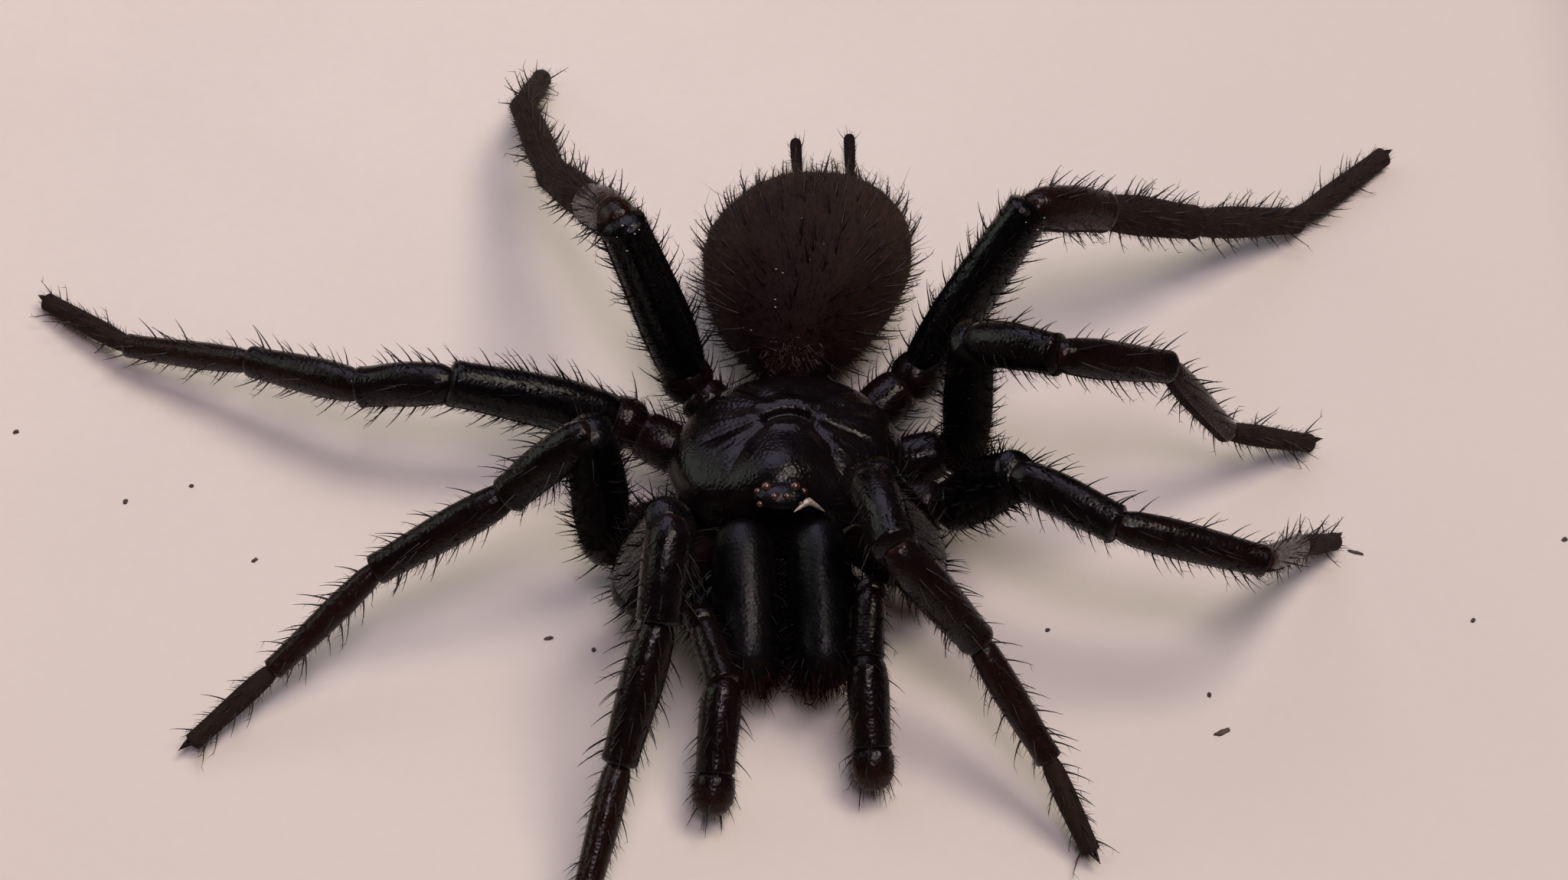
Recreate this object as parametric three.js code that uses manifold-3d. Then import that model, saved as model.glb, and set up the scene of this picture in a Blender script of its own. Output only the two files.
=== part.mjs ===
// Framed funnel-web spider specimen, lying on its back. Millimetres, +Z up.
// The origin is at the centre of the frame's underside. The spider faces -Y, the frame's lower rail.
import * as THREE from 'three';
import { mergeVertices } from 'three/addons/utils/BufferGeometryUtils.js';
import Module from 'manifold-3d';

const wasm = await Module();
wasm.setup();

// The frame.
const FRAME_SIZE = 140; // outer width and height of the square frame
const RAIL_WIDTH = 18; // face width of a rail
const RAIL_DEPTH = 28; // thickness of the frame from back to front
const REBATE_WIDTH = 6; // step behind the lip that holds the boards
const EDGE_ROUND = 2.5; // rounding of the rails' front edges
const BACK_ROUND = 0.6; // small easing of the rails' back edge
const GAP = 0.3; // clearance between neighbouring pieces
const CUT_GAP = 0.38; // clearance cut round a faceted body, a little more because facets lie inside it
const BACKING_THICKNESS = 3;
const MOUNT_BOARD_THICKNESS = 5.2;
const MOUNT_BOARD_TOP = BACKING_THICKNESS + GAP + MOUNT_BOARD_THICKNESS;

// The spider's body. Positions are relative to a point on the mount board near its middle,
// z from the board's face.
const SPIDER_PLACE = [2, 2, MOUNT_BOARD_TOP];
const FOOT_HEIGHT = 0.78; // height of a tarsus's end point above the board
const BODY_TURN = 0.07; // sideways slope of the body's axis, per mm of length
const BODY_AXIS_X = 0.54; // where the body's axis crosses y = 0

const CARAPACE = { centre: [0.1, -5.6, 5.0], halfWidth: 5.6, halfLength: 4.85, top: 2.6, under: 0.8 };
const HEAD_RISE = { height: 1.35, y: -9.2, length: 2.7, width: 2.5 };
const STERNUM = { centre: [0.1, -6.0, 3.6], half: [2.3, 4.3, 1.05] };
const FOVEA = { y: -4.5, z: 7.8, bendRadius: 1.7, tube: 0.42, span: [2.6, 1.6, 2] };
const EYE_MOUND = { centre: [-0.15, -9.95, 7.75], half: [1.3, 0.8, 0.62] };
// Eyes on the mound: sideways, forwards, upwards from its centre, and radius. Both sides have them.
const EYES = [
  [0.36, -0.42, 0.5, 0.25],
  [0.98, -0.52, 0.2, 0.24],
  [1.12, 0.2, 0.26, 0.22],
  [0.66, 0.3, 0.46, 0.17],
];

const ABDOMEN = { centre: [1.2, 7.2, 5.6], halfWidth: 5.3, rear: 4.45, front: 7.3, halfHeight: 4.55 };
const ABDOMEN_BLUNT = 1.7; // how full the front half is: 2 is an ellipse, less is slimmer
const ABDOMEN_LEAN = 0.105; // sideways slope of the abdomen's axis, per mm
const PEDICEL = { from: [0.5, -0.9, 4.7], to: [0.75, 1.6, 4.9], radius: 0.75 };
const ABDOMEN_HAIR = { rings: 5, perRing: 8, length: 1.3, radius: 0.17 };

const JAW = { y: -10.6, z: 5.75, endX: 0.2, spacing: 1.77, rise: -21 };
const JAW_PROFILE = [
  [0, 1.7], [1.2, 2.06], [3, 2.16], [5, 2.14], [6.4, 2.0], [7.1, 1.6], [7.4, 1.0],
];
const JAW_NARROWING = 0.75; // a jaw column is deeper than it is wide
const JAW_SIDES = 12;
const FANG = { y: -15.9, z: 0.87, length: 4.3, sag: 0.25, steps: 5, baseRadius: 0.42, tipRadius: 0.08 };

// The spider's limbs. Free articles of a leg: femur, patella, tibia, metatarsus, tarsus.
// Pairs count from the front.
const LEG_LENGTHS = {
  1: [9.2, 4.6, 6.7, 6.5, 4.7],
  2: [8.6, 5.3, 7.4, 6.9, 5.1],
  3: [8.6, 4.8, 6.6, 7.8, 6.1],
  4: [10.2, 5.4, 7.0, 8.1, 6.9],
};
const LEG_RADII = {
  1: [1.45, 1.22, 1.06, 0.74, 0.52],
  2: [1.42, 1.05, 0.92, 0.64, 0.5],
  3: [1.42, 1.12, 0.96, 0.68, 0.53],
  4: [1.42, 1.16, 1.0, 0.8, 0.58],
};
// A femur is deeper than it is wide; the other articles are nearly round.
const LEG_NARROWING = [0.84, 0.94, 0.96, 1, 1];
const COXA_ROOT_Z = 3.15;
const COXA_RADIUS = 1.25;
const TROCHANTER_RADIUS = 1.3;
const COXA_NECK = 0.66; // a coxa's radius at its root, as a share of its full radius

// Pose of each leg. root: where the coxa starts beside the sternum. hip: where the femur starts.
// heading: degrees from -Y towards +X, one per article. rise: degrees above the level.
const LEGS = {
  leg_1_right: {
    pair: 1,
    root: [-3.1, -9.2],
    hip: [-7.1, -12.9],
    heading: [36, -9, -20, -16, -16],
    rise: [69, -37, -38, -29, -27],
  },
  leg_2_right: {
    pair: 2,
    root: [-3.3, -7.1],
    hip: [-8.7, -9.9],
    heading: [-45, -77, -74, -56, -53],
    rise: [86, -42, -27, -30, -22],
  },
  leg_3_right: {
    pair: 3,
    root: [-3.2, -4.8],
    hip: [-8.0, -2.4],
    heading: [-91, -101, -117, -115, -130],
    rise: [18, -16, -13, -18, -10],
  },
  leg_4_right: {
    pair: 4,
    root: [-2.3, -2.6],
    hip: [-4.9, 0.3],
    heading: [-117, -159, -157, -166, 174],
    rise: [71, -37, -31, -20, -34],
  },
  leg_1_left: {
    pair: 1,
    root: [3.2, -9.0],
    hip: [6.7, -11.5],
    heading: [-67, 14, 71, 41, 32],
    rise: [71, 6, -52, -38, -39],
  },
  leg_2_left: {
    pair: 2,
    root: [3.5, -6.9],
    hip: [8.6, -7.6],
    heading: [29, 59, 88, 153, 143],
    rise: [57, -3, -19, -42, -43],
  },
  leg_3_left: {
    pair: 3,
    root: [3.4, -4.7],
    hip: [8.9, -3.8],
    heading: [7, 59, 109, 117, 115],
    rise: [87, 20, -28, -61, -35],
  },
  leg_4_left: {
    pair: 4,
    root: [2.8, -2.6],
    hip: [6.7, 0.7],
    heading: [127, 123, 121, 123, 134],
    rise: [49, -33, -35, -30, -2],
  },
};

// Free articles of a pedipalp: femur, patella, tibia, tarsus.
const PALP_LENGTHS = [4.4, 3.2, 4.2, 1.9];
const PALP_RADII = [0.75, 0.78, 0.98, 1.0];
const PALP_COXA_RADIUS = 0.8;
const PALPS = {
  pedipalp_right: {
    root: [-2.3, -10.2, 2.2],
    hip: [-4.45, -12.9, 2.3],
    heading: [12, 18, -6, -6],
    rise: [48, -11, -36, -36],
  },
  pedipalp_left: {
    root: [2.1, -10.2, 2.2],
    hip: [3.85, -12.1, 2.2],
    heading: [6, -4, 4, 4],
    rise: [60, -19, -36, -36],
  },
};

// Spinnerets: three short articles tapering to a blunt tip.
const SPINNERET_RADII = [0.52, 0.43, 0.3];
const SPINNERETS = {
  spinneret_right: { from: [0.9, 10.9, 2.7], to: [0.6, 17.3, 3.5] },
  spinneret_left: { from: [3.5, 10.6, 2.8], to: [3.4, 17.6, 3.5] },
};

// Spines along the limbs: how far apart, how long, and how they lean towards the tip.
const SPINE = { step: 2.25, start: 0.9, stagger: 0.25, length: 1.4, radius: 0.14, lean: 52, root: 0.27 };
const SPINE_SIDES = [38, 142, 218, 322]; // degrees round an article from its side
// A pair of claws ends each leg. They splay sideways and point a little above the level.
const CLAW = { length: 0.85, radius: 0.13, spread: 0.16, splay: 12, lift: 4, follow: 0.2 };

const SIDES = 6; // facets round a limb

// A closed geometry as a solid for joining and cutting.
function solid(geometry) {
  geometry.deleteAttribute('normal');
  geometry.deleteAttribute('uv');
  const merged = mergeVertices(geometry, 1e-4);
  const index = merged.index.array;
  const triangles = [];
  for (let i = 0; i < index.length; i += 3) {
    const [a, b, c] = [index[i], index[i + 1], index[i + 2]];
    if (a !== b && b !== c && c !== a) triangles.push(a, b, c);
  }
  return new wasm.Manifold(new wasm.Mesh({
    numProp: 3,
    vertProperties: new Float32Array(merged.attributes.position.array),
    triVerts: new Uint32Array(triangles),
  }));
}

// A solid as a geometry that a mesh can show.
function shown(manifold) {
  const mesh = manifold.getMesh();
  const geometry = new THREE.BufferGeometry();
  geometry.setAttribute('position', new THREE.BufferAttribute(mesh.vertProperties, 3));
  geometry.setIndex(new THREE.BufferAttribute(mesh.triVerts, 1));
  geometry.computeVertexNormals();
  return geometry;
}

// Unit direction from a heading and a rise in degrees.
function direction(heading, rise) {
  const h = THREE.MathUtils.degToRad(heading);
  const r = THREE.MathUtils.degToRad(rise);
  return new THREE.Vector3(
    Math.sin(h) * Math.cos(r), -Math.cos(h) * Math.cos(r), Math.sin(r));
}

// Placement with local Y along a limb, local X level and to its side, local Z upwards across it.
function limbFrame(start, heading, rise) {
  const h = THREE.MathUtils.degToRad(heading);
  const along = direction(heading, rise);
  const side = new THREE.Vector3(-Math.cos(h), -Math.sin(h), 0);
  const across = new THREE.Vector3().crossVectors(side, along);
  return new THREE.Matrix4().makeBasis(side, along, across).setPosition(start);
}

// Heading and rise in degrees, and length, of the line between two points.
function line(from, to) {
  const d = new THREE.Vector3().subVectors(to, from);
  return {
    heading: THREE.MathUtils.radToDeg(Math.atan2(d.x, -d.y)),
    rise: THREE.MathUtils.radToDeg(Math.asin(d.z / d.length())),
    length: d.length(),
  };
}

// Turned solid: profile holds [distance along, radius] pairs, closed onto the axis at both ends.
function turned(profile, place, narrowing = 1, sides = SIDES) {
  const points = [new THREE.Vector2(0, profile[0][0] - profile[0][1] * 0.35)];
  for (const [along, radius] of profile) points.push(new THREE.Vector2(radius, along));
  const [lastAlong, lastRadius] = profile[profile.length - 1];
  points.push(new THREE.Vector2(0, lastAlong + lastRadius * 0.35));
  const geometry = new THREE.LatheGeometry(points, sides, Math.PI / sides);
  geometry.scale(narrowing, 1, 1);
  geometry.applyMatrix4(place);
  return solid(geometry);
}

// Cone with its base inside the surface it grows from.
function spike(base, along, length, radius) {
  const geometry = new THREE.ConeGeometry(radius, length, 3);
  geometry.translate(0, length / 2, 0);
  geometry.applyQuaternion(
    new THREE.Quaternion().setFromUnitVectors(new THREE.Vector3(0, 1, 0), along));
  geometry.translate(base.x, base.y, base.z);
  return solid(geometry);
}

// Unit sphere whose vertices are moved by a function, poles along Z or along Y.
function swollen(columns, rows, polesUp, move) {
  const geometry = new THREE.SphereGeometry(1, columns, rows);
  if (polesUp) geometry.rotateX(Math.PI / 2);
  const position = geometry.attributes.position;
  const v = new THREE.Vector3();
  for (let i = 0; i < position.count; i++) {
    v.fromBufferAttribute(position, i);
    move(v);
    position.setXYZ(i, v.x, v.y, v.z);
  }
  return solid(geometry);
}

function ellipsoid(centre, half, columns, rows) {
  return swollen(columns, rows, true, (v) => {
    v.multiply(new THREE.Vector3(...half)).add(new THREE.Vector3(...centre));
  });
}

// Section of a rail: distance inwards from the outer face, height from the back.
function railSection() {
  const lip = MOUNT_BOARD_TOP + GAP;
  const rebate = RAIL_WIDTH - REBATE_WIDTH;
  const shape = new THREE.Shape();
  shape.moveTo(BACK_ROUND, 0);
  shape.lineTo(rebate, 0);
  shape.lineTo(rebate, lip);
  shape.lineTo(RAIL_WIDTH, lip);
  shape.lineTo(RAIL_WIDTH, RAIL_DEPTH - EDGE_ROUND);
  shape.absarc(
    RAIL_WIDTH - EDGE_ROUND, RAIL_DEPTH - EDGE_ROUND, EDGE_ROUND, 0, Math.PI / 2, false);
  shape.lineTo(EDGE_ROUND, RAIL_DEPTH);
  shape.absarc(EDGE_ROUND, RAIL_DEPTH - EDGE_ROUND, EDGE_ROUND, Math.PI / 2, Math.PI, false);
  shape.lineTo(0, BACK_ROUND);
  return shape;
}

// A rail along X at the frame's lower side, its ends mitred to meet the side rails.
function rail() {
  const geometry = new THREE.ExtrudeGeometry(
    railSection(), { depth: 1, bevelEnabled: false, curveSegments: 4 });
  const position = geometry.attributes.position;
  for (let i = 0; i < position.count; i++) {
    const inwards = position.getX(i);
    const height = position.getY(i);
    const end = position.getZ(i) > 0.5 ? 1 : -1;
    const reach = FRAME_SIZE / 2 - inwards - GAP * Math.SQRT1_2;
    position.setXYZ(i, end * reach, inwards - FRAME_SIZE / 2, height);
  }
  return shown(solid(geometry));
}

function board(thickness, bottom) {
  const side = FRAME_SIZE - 2 * (RAIL_WIDTH - REBATE_WIDTH) - 2 * GAP;
  const geometry = new THREE.BoxGeometry(side, side, thickness);
  geometry.translate(0, 0, bottom + thickness / 2);
  return geometry;
}

// Carapace surface, grown outwards by a clearance where a neighbour is cut away from it.
function carapace(clearance) {
  const { centre, halfWidth, halfLength, top, under } = CARAPACE;
  return swollen(20, 12, true, (v) => {
    const crown = Math.sign(v.z) * Math.abs(v.z) ** 0.72;
    const narrowFront = v.y < 0 ? 1 - 0.13 * v.y * v.y : 1;
    const x = v.x * (halfWidth + clearance) * narrowFront;
    const y = centre[1] + v.y * (halfLength + clearance);
    const head = HEAD_RISE.height * Math.exp(
      -(((y - HEAD_RISE.y) / HEAD_RISE.length) ** 2) - (x / HEAD_RISE.width) ** 2);
    const dome = crown > 0 ? crown * (top + clearance + head) : crown * (under + clearance);
    v.set(centre[0] + x + (y - centre[1]) * BODY_TURN, y, centre[2] + dome);
  });
}

function sternum(clearance) {
  return ellipsoid(STERNUM.centre, STERNUM.half.map((h) => h + clearance), 12, 6);
}

function cephalothorax() {
  let body = carapace(0).add(sternum(0));
  body = body.add(ellipsoid(EYE_MOUND.centre, EYE_MOUND.half, 10, 6));
  for (const side of [-1, 1]) {
    for (const [x, y, z, radius] of EYES) {
      const at = [
        EYE_MOUND.centre[0] + side * x, EYE_MOUND.centre[1] + y, EYE_MOUND.centre[2] + z];
      body = body.add(ellipsoid(at, [radius, radius, radius], 6, 4));
    }
  }
  // The fovea is a short groove across the back whose ends bend towards the head.
  const groove = new THREE.TorusGeometry(FOVEA.bendRadius, FOVEA.tube, 4, 16);
  groove.translate(BODY_AXIS_X + FOVEA.y * BODY_TURN, FOVEA.y - FOVEA.bendRadius, FOVEA.z);
  const keep = new THREE.BoxGeometry(...FOVEA.span);
  keep.translate(BODY_AXIS_X + FOVEA.y * BODY_TURN, FOVEA.y, FOVEA.z);
  return body.subtract(solid(groove).intersect(solid(keep)));
}

// The cephalothorax with a clearance all round, for cutting its neighbours.
function cephalothoraxClear() {
  return carapace(CUT_GAP).add(sternum(CUT_GAP));
}

function abdomenPoint(v, clearance) {
  const { centre, halfWidth, rear, front, halfHeight } = ABDOMEN;
  const length = (v.y > 0 ? rear : front) + clearance;
  const y = v.y * length;
  const forwards = v.y < 0 ? v.y * v.y : 0;
  const round = Math.sqrt(Math.max(1 - forwards, 1e-6));
  const blunt = (1 - Math.min(Math.abs(v.y), 1) ** ABDOMEN_BLUNT) ** (1 / ABDOMEN_BLUNT);
  const fullness = v.y < 0 ? blunt / round : 1;
  return v.set(
    centre[0] + v.x * (halfWidth + clearance) * fullness + y * ABDOMEN_LEAN,
    centre[1] + y,
    centre[2] + v.z * (halfHeight + clearance) - 0.7 * forwards);
}

function abdomenEgg(clearance) {
  return swollen(16, 12, false, (v) => abdomenPoint(v, clearance));
}

function abdomen() {
  const from = new THREE.Vector3(...PEDICEL.from);
  const to = new THREE.Vector3(...PEDICEL.to);
  const waist = line(from, to);
  let body = abdomenEgg(0).add(turned(
    [[0, PEDICEL.radius], [waist.length, PEDICEL.radius]],
    limbFrame(from, waist.heading, waist.rise)));
  // Coarse hair lies back over the egg in rings and stands proud of its edge.
  for (let ring = 0; ring < ABDOMEN_HAIR.rings; ring++) {
    const along = THREE.MathUtils.lerp(-0.55, 0.93, ring / (ABDOMEN_HAIR.rings - 1));
    for (let k = 0; k < ABDOMEN_HAIR.perRing; k++) {
      const round = (2 * Math.PI * (k + 0.5 * (ring % 2))) / ABDOMEN_HAIR.perRing;
      const across = Math.sqrt(1 - along * along);
      const normal = new THREE.Vector3(across * Math.cos(round), along, across * Math.sin(round));
      const base = abdomenPoint(normal.clone().multiplyScalar(0.97), 0);
      const lean = normal.clone().add(new THREE.Vector3(0, 0.75, 0)).normalize();
      if (base.z + lean.z * ABDOMEN_HAIR.length < GAP) continue;
      body = body.add(spike(base, lean, ABDOMEN_HAIR.length, ABDOMEN_HAIR.radius));
    }
  }
  return body.subtract(cephalothoraxClear());
}

// Centre line of a jaw column: its start, heading and rise.
function jawLine(side) {
  const start = new THREE.Vector3(
    BODY_AXIS_X + JAW.y * BODY_TURN + side * JAW.spacing, JAW.y, JAW.z);
  const end = JAW.endX + side * JAW.spacing;
  const run = JAW_PROFILE[JAW_PROFILE.length - 1][0] * Math.cos(THREE.MathUtils.degToRad(JAW.rise));
  const heading = THREE.MathUtils.radToDeg(Math.atan2(end - start.x, run));
  return { start, heading };
}

function jawColumn(side, clearance) {
  const { start, heading } = jawLine(side);
  const profile = JAW_PROFILE.map(([along, radius]) => [along, radius + clearance / JAW_NARROWING]);
  return turned(profile, limbFrame(start, heading, JAW.rise), JAW_NARROWING, JAW_SIDES);
}

function chelicera(side) {
  return jawColumn(side, 0).subtract(cephalothoraxClear());
}

function fang(side) {
  const base = new THREE.Vector3(JAW.endX + side * JAW.spacing, FANG.y, FANG.z);
  const points = [new THREE.Vector2(0, -0.2)];
  for (let i = 0; i <= FANG.steps; i++) {
    const t = i / FANG.steps;
    const radius = THREE.MathUtils.lerp(FANG.baseRadius, FANG.tipRadius, t ** 1.3);
    points.push(new THREE.Vector2(radius, t * FANG.length));
  }
  points.push(new THREE.Vector2(0, FANG.length + 0.1));
  const geometry = new THREE.LatheGeometry(points, SIDES);
  const position = geometry.attributes.position;
  for (let i = 0; i < position.count; i++) {
    const t = position.getY(i) / FANG.length;
    position.setZ(i, position.getZ(i) - FANG.sag * 4 * t * (1 - t));
  }
  geometry.translate(base.x, base.y, base.z);
  return solid(geometry);
}

// Profile of one article of a limb: slim at its joints and fullest near a third of its length.
function articleProfile(length, radius, endRadius) {
  return [
    [-0.25 * radius, 0.62 * radius],
    [0.12 * length, 0.94 * radius],
    [0.38 * length, radius],
    [0.92 * length, endRadius],
    [length + 0.25 * endRadius, 0.6 * endRadius],
  ];
}

// Radius of a profile at a distance along it.
function radiusAt(profile, along) {
  const next = profile.findIndex(([at]) => at > along);
  const [from, fromRadius] = profile[next - 1];
  const [to, toRadius] = profile[next];
  return THREE.MathUtils.mapLinear(along, from, to, fromRadius, toRadius);
}

// Spines in rows along an article, leaning towards its tip.
function addSpines(limb, length, profile, place, narrowing) {
  const count = Math.floor((length - 0.6) / SPINE.step);
  const lean = THREE.MathUtils.degToRad(SPINE.lean);
  for (const [row, angle] of SPINE_SIDES.entries()) {
    const turn = THREE.MathUtils.degToRad(angle);
    const out = new THREE.Vector3(Math.cos(turn), 0, Math.sin(turn));
    const section = new THREE.Vector3(narrowing, 1, 1);
    for (let i = 0; i < count; i++) {
      if ((i + row) % 2) continue;
      const along = SPINE.start + i * SPINE.step + SPINE.stagger * row;
      const base = out.clone().multiply(section)
        .multiplyScalar(radiusAt(profile, along) - SPINE.root).setY(along).applyMatrix4(place);
      const lengthwise = new THREE.Vector3(0, Math.sin(lean), 0);
      const pointing = out.clone().multiplyScalar(Math.cos(lean)).add(lengthwise)
        .transformDirection(place);
      if (base.z + pointing.z * SPINE.length < GAP) continue;
      limb = limb.add(spike(base, pointing, SPINE.length, SPINE.radius));
    }
  }
  return limb;
}

function leg({ pair, root, hip, heading, rise }) {
  const lengths = LEG_LENGTHS[pair];
  const radii = LEG_RADII[pair];
  const climb = lengths.reduce(
    (sum, length, i) => sum + length * Math.sin(THREE.MathUtils.degToRad(rise[i])), 0);
  const start = new THREE.Vector3(root[0], root[1], COXA_ROOT_Z);
  const joint = new THREE.Vector3(hip[0], hip[1], FOOT_HEIGHT - climb);
  const coxa = line(start, joint);
  const coxaEnd = coxa.length - 0.8 * TROCHANTER_RADIUS;
  let limb = turned([
    [0, COXA_RADIUS * COXA_NECK],
    [0.75 * coxaEnd, COXA_RADIUS],
    [coxaEnd, 0.84 * COXA_RADIUS],
    [coxa.length - 0.2, TROCHANTER_RADIUS],
    [coxa.length + 0.7 * TROCHANTER_RADIUS, 0.6 * TROCHANTER_RADIUS],
  ], limbFrame(start, coxa.heading, coxa.rise));
  for (let i = 0; i < lengths.length; i++) {
    const place = limbFrame(joint, heading[i], rise[i]);
    const endRadius = i < lengths.length - 1 ? 0.5 * (radii[i] + radii[i + 1]) : radii[i] * 0.9;
    const profile = articleProfile(lengths[i], radii[i], endRadius);
    limb = limb.add(turned(profile, place, LEG_NARROWING[i]));
    if (i < lengths.length - 1) {
      limb = addSpines(limb, lengths[i], profile, place, LEG_NARROWING[i]);
    }
    joint.addScaledVector(direction(heading[i], rise[i]), lengths[i]);
  }
  const last = lengths.length - 1;
  const tarsus = limbFrame(joint, heading[last], rise[last]);
  for (const side of [-1, 1]) {
    const base = new THREE.Vector3(side * CLAW.spread, -0.1, 0.1).applyMatrix4(tarsus);
    const pointing = direction(
      heading[last] + side * CLAW.splay, Math.min(rise[last], 0) * CLAW.follow + CLAW.lift);
    limb = limb.add(spike(base, pointing, CLAW.length, CLAW.radius));
  }
  return limb.subtract(cephalothoraxClear());
}

function pedipalp({ root, hip, heading, rise }) {
  const start = new THREE.Vector3(...root);
  const joint = new THREE.Vector3(...hip);
  const coxa = line(start, joint);
  let limb = turned([
    [0, PALP_COXA_RADIUS * COXA_NECK],
    [0.5 * coxa.length, PALP_COXA_RADIUS],
    [coxa.length, 0.9 * PALP_COXA_RADIUS],
  ], limbFrame(start, coxa.heading, coxa.rise));
  for (let i = 0; i < PALP_LENGTHS.length; i++) {
    const place = limbFrame(joint, heading[i], rise[i]);
    const next = PALP_RADII[Math.min(i + 1, PALP_RADII.length - 1)];
    const endRadius = 0.5 * (PALP_RADII[i] + next) * 0.95;
    const profile = articleProfile(PALP_LENGTHS[i], PALP_RADII[i], endRadius);
    limb = limb.add(turned(profile, place));
    if (i > 0) limb = addSpines(limb, PALP_LENGTHS[i], profile, place, 1);
    joint.addScaledVector(direction(heading[i], rise[i]), PALP_LENGTHS[i]);
  }
  for (const side of [-1, 1]) limb = limb.subtract(jawColumn(side, CUT_GAP));
  return limb.subtract(cephalothoraxClear());
}

function spinneret({ from, to }) {
  const start = new THREE.Vector3(...from);
  const whole = line(start, new THREE.Vector3(...to));
  const place = limbFrame(start, whole.heading, whole.rise);
  const profile = [];
  const count = SPINNERET_RADII.length;
  for (const [i, radius] of SPINNERET_RADII.entries()) {
    const begin = (whole.length * i) / count;
    const end = (whole.length * (i + 1)) / count;
    profile.push([begin + 0.15, radius * 0.8], [begin + 0.5, radius], [end - 0.2, radius * 0.9]);
  }
  return turned(profile, place).subtract(abdomenEgg(CUT_GAP));
}

const FINISHES = {
  wood: { color: 0xb98d5c, roughness: 0.5 },
  board: { color: 0xd9cdc6, roughness: 0.95 },
  backing: { color: 0x7a5a3c, roughness: 0.85 },
  shell: { color: 0x14110f, roughness: 0.25 },
  velvet: { color: 0x281a16, roughness: 0.9 },
  fang: { color: 0x3a120c, roughness: 0.3 },
};

function named(name, geometry, finish) {
  const material = new THREE.MeshStandardMaterial({ ...FINISHES[finish], metalness: 0 });
  const mesh = new THREE.Mesh(geometry, material);
  mesh.name = name;
  return mesh;
}

const object = new THREE.Group();

for (const [i, place] of ['bottom', 'right', 'top', 'left'].entries()) {
  const piece = named(`frame_rail_${place}`, rail(), 'wood');
  piece.rotation.z = (i * Math.PI) / 2;
  object.add(piece);
}
object.add(named('backing_board', board(BACKING_THICKNESS, 0), 'backing'));
object.add(named('mount_board', board(MOUNT_BOARD_THICKNESS, BACKING_THICKNESS + GAP), 'board'));

const spider = new THREE.Group();
spider.position.set(...SPIDER_PLACE);
spider.add(named('cephalothorax', shown(cephalothorax()), 'shell'));
spider.add(named('abdomen', shown(abdomen()), 'velvet'));
for (const [name, side] of [['right', -1], ['left', 1]]) {
  spider.add(named(`chelicera_${name}`, shown(chelicera(side)), 'shell'));
  spider.add(named(`fang_${name}`, shown(fang(side)), 'fang'));
}
for (const [name, pose] of Object.entries(PALPS)) {
  spider.add(named(name, shown(pedipalp(pose)), 'shell'));
}
for (const [name, pose] of Object.entries(LEGS)) {
  spider.add(named(name, shown(leg(pose)), 'shell'));
}
for (const [name, ends] of Object.entries(SPINNERETS)) {
  spider.add(named(name, shown(spinneret(ends)), 'velvet'));
}
object.add(spider);

export default object;
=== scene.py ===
# %% [markdown]
# A dried funnel-web spider, fixed by its feet to a pale card in a small open wooden frame.
#
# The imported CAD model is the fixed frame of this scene: it says where every piece is and how big
# it may be. Here each faceted solid gets the smooth, hairy or grained surface of the real thing.
# The spider is worked out in millimetres from one point on the card, as a maker would measure it,
# and is turned into metres only when a mesh is made.

import math

import bmesh
import bpy
import numpy as np
from mathutils import Matrix, Vector, noise


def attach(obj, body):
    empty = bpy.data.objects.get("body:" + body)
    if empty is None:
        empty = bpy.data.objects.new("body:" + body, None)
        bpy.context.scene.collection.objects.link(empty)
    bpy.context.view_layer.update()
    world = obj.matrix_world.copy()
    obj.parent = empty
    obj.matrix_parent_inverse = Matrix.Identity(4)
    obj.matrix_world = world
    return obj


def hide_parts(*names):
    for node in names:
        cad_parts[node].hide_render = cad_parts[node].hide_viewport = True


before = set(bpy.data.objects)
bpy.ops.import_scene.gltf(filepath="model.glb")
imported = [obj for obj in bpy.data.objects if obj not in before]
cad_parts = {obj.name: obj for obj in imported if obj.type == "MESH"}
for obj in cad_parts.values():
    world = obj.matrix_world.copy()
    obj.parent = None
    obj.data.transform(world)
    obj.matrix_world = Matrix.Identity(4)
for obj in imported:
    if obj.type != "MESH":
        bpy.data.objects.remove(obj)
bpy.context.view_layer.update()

# %% [markdown]
# The camera looks down on the specimen at about fifty degrees from a hand's width away, with a
# long lens, so near and far legs keep nearly the same scale. It is made first, because every
# later choice of detail depends on what it sees.

# %% The camera
MM = 0.001
PLACE = Vector((2.0, 2.0, 8.5))  # mm: the point on the card that the spider is measured from
LOOK_DOWN = math.radians(50.4)
CAMERA_DISTANCE = 226.2  # mm
VIEW_WIDTH = math.radians(19.75)
SENSOR_WIDTH = 36.0  # mm


def metres(point):
    """A point in spider millimetres as a place in the scene."""
    return (Vector(point) + PLACE) * MM


def new_object(name, data):
    """An object of the scene that shows the data."""
    made = bpy.data.objects.new(name, data)
    bpy.context.collection.objects.link(made)
    return made


camera_data = bpy.data.cameras.new("camera")
camera_data.sensor_width = SENSOR_WIDTH
camera_data.lens = 0.5 * SENSOR_WIDTH / math.tan(VIEW_WIDTH / 2)
camera_data.clip_start = 0.01
camera = new_object("camera", camera_data)
camera.location = metres((
    0, -CAMERA_DISTANCE * math.cos(LOOK_DOWN), CAMERA_DISTANCE * math.sin(LOOK_DOWN)))
camera.rotation_euler = (math.pi / 2 - LOOK_DOWN, 0, 0)
bpy.context.scene.camera = camera
print("Lens:", round(camera_data.lens, 1), "mm")

# %% [markdown]
# Two soft lamps hang overhead, a warm one towards the right and a cooler one nearer the camera.
# Their shadows overlap only in part, so each leg casts a purplish edge and a yellowish edge. A
# wide dim window behind and a dim greenish wall at the left are what glossy cuticle reflects. A
# real room fills far more of what the cuticle mirrors, so two panels are seen in gloss alone.

# %% The lights
bpy.context.scene.view_settings.view_transform = "Standard"


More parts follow.
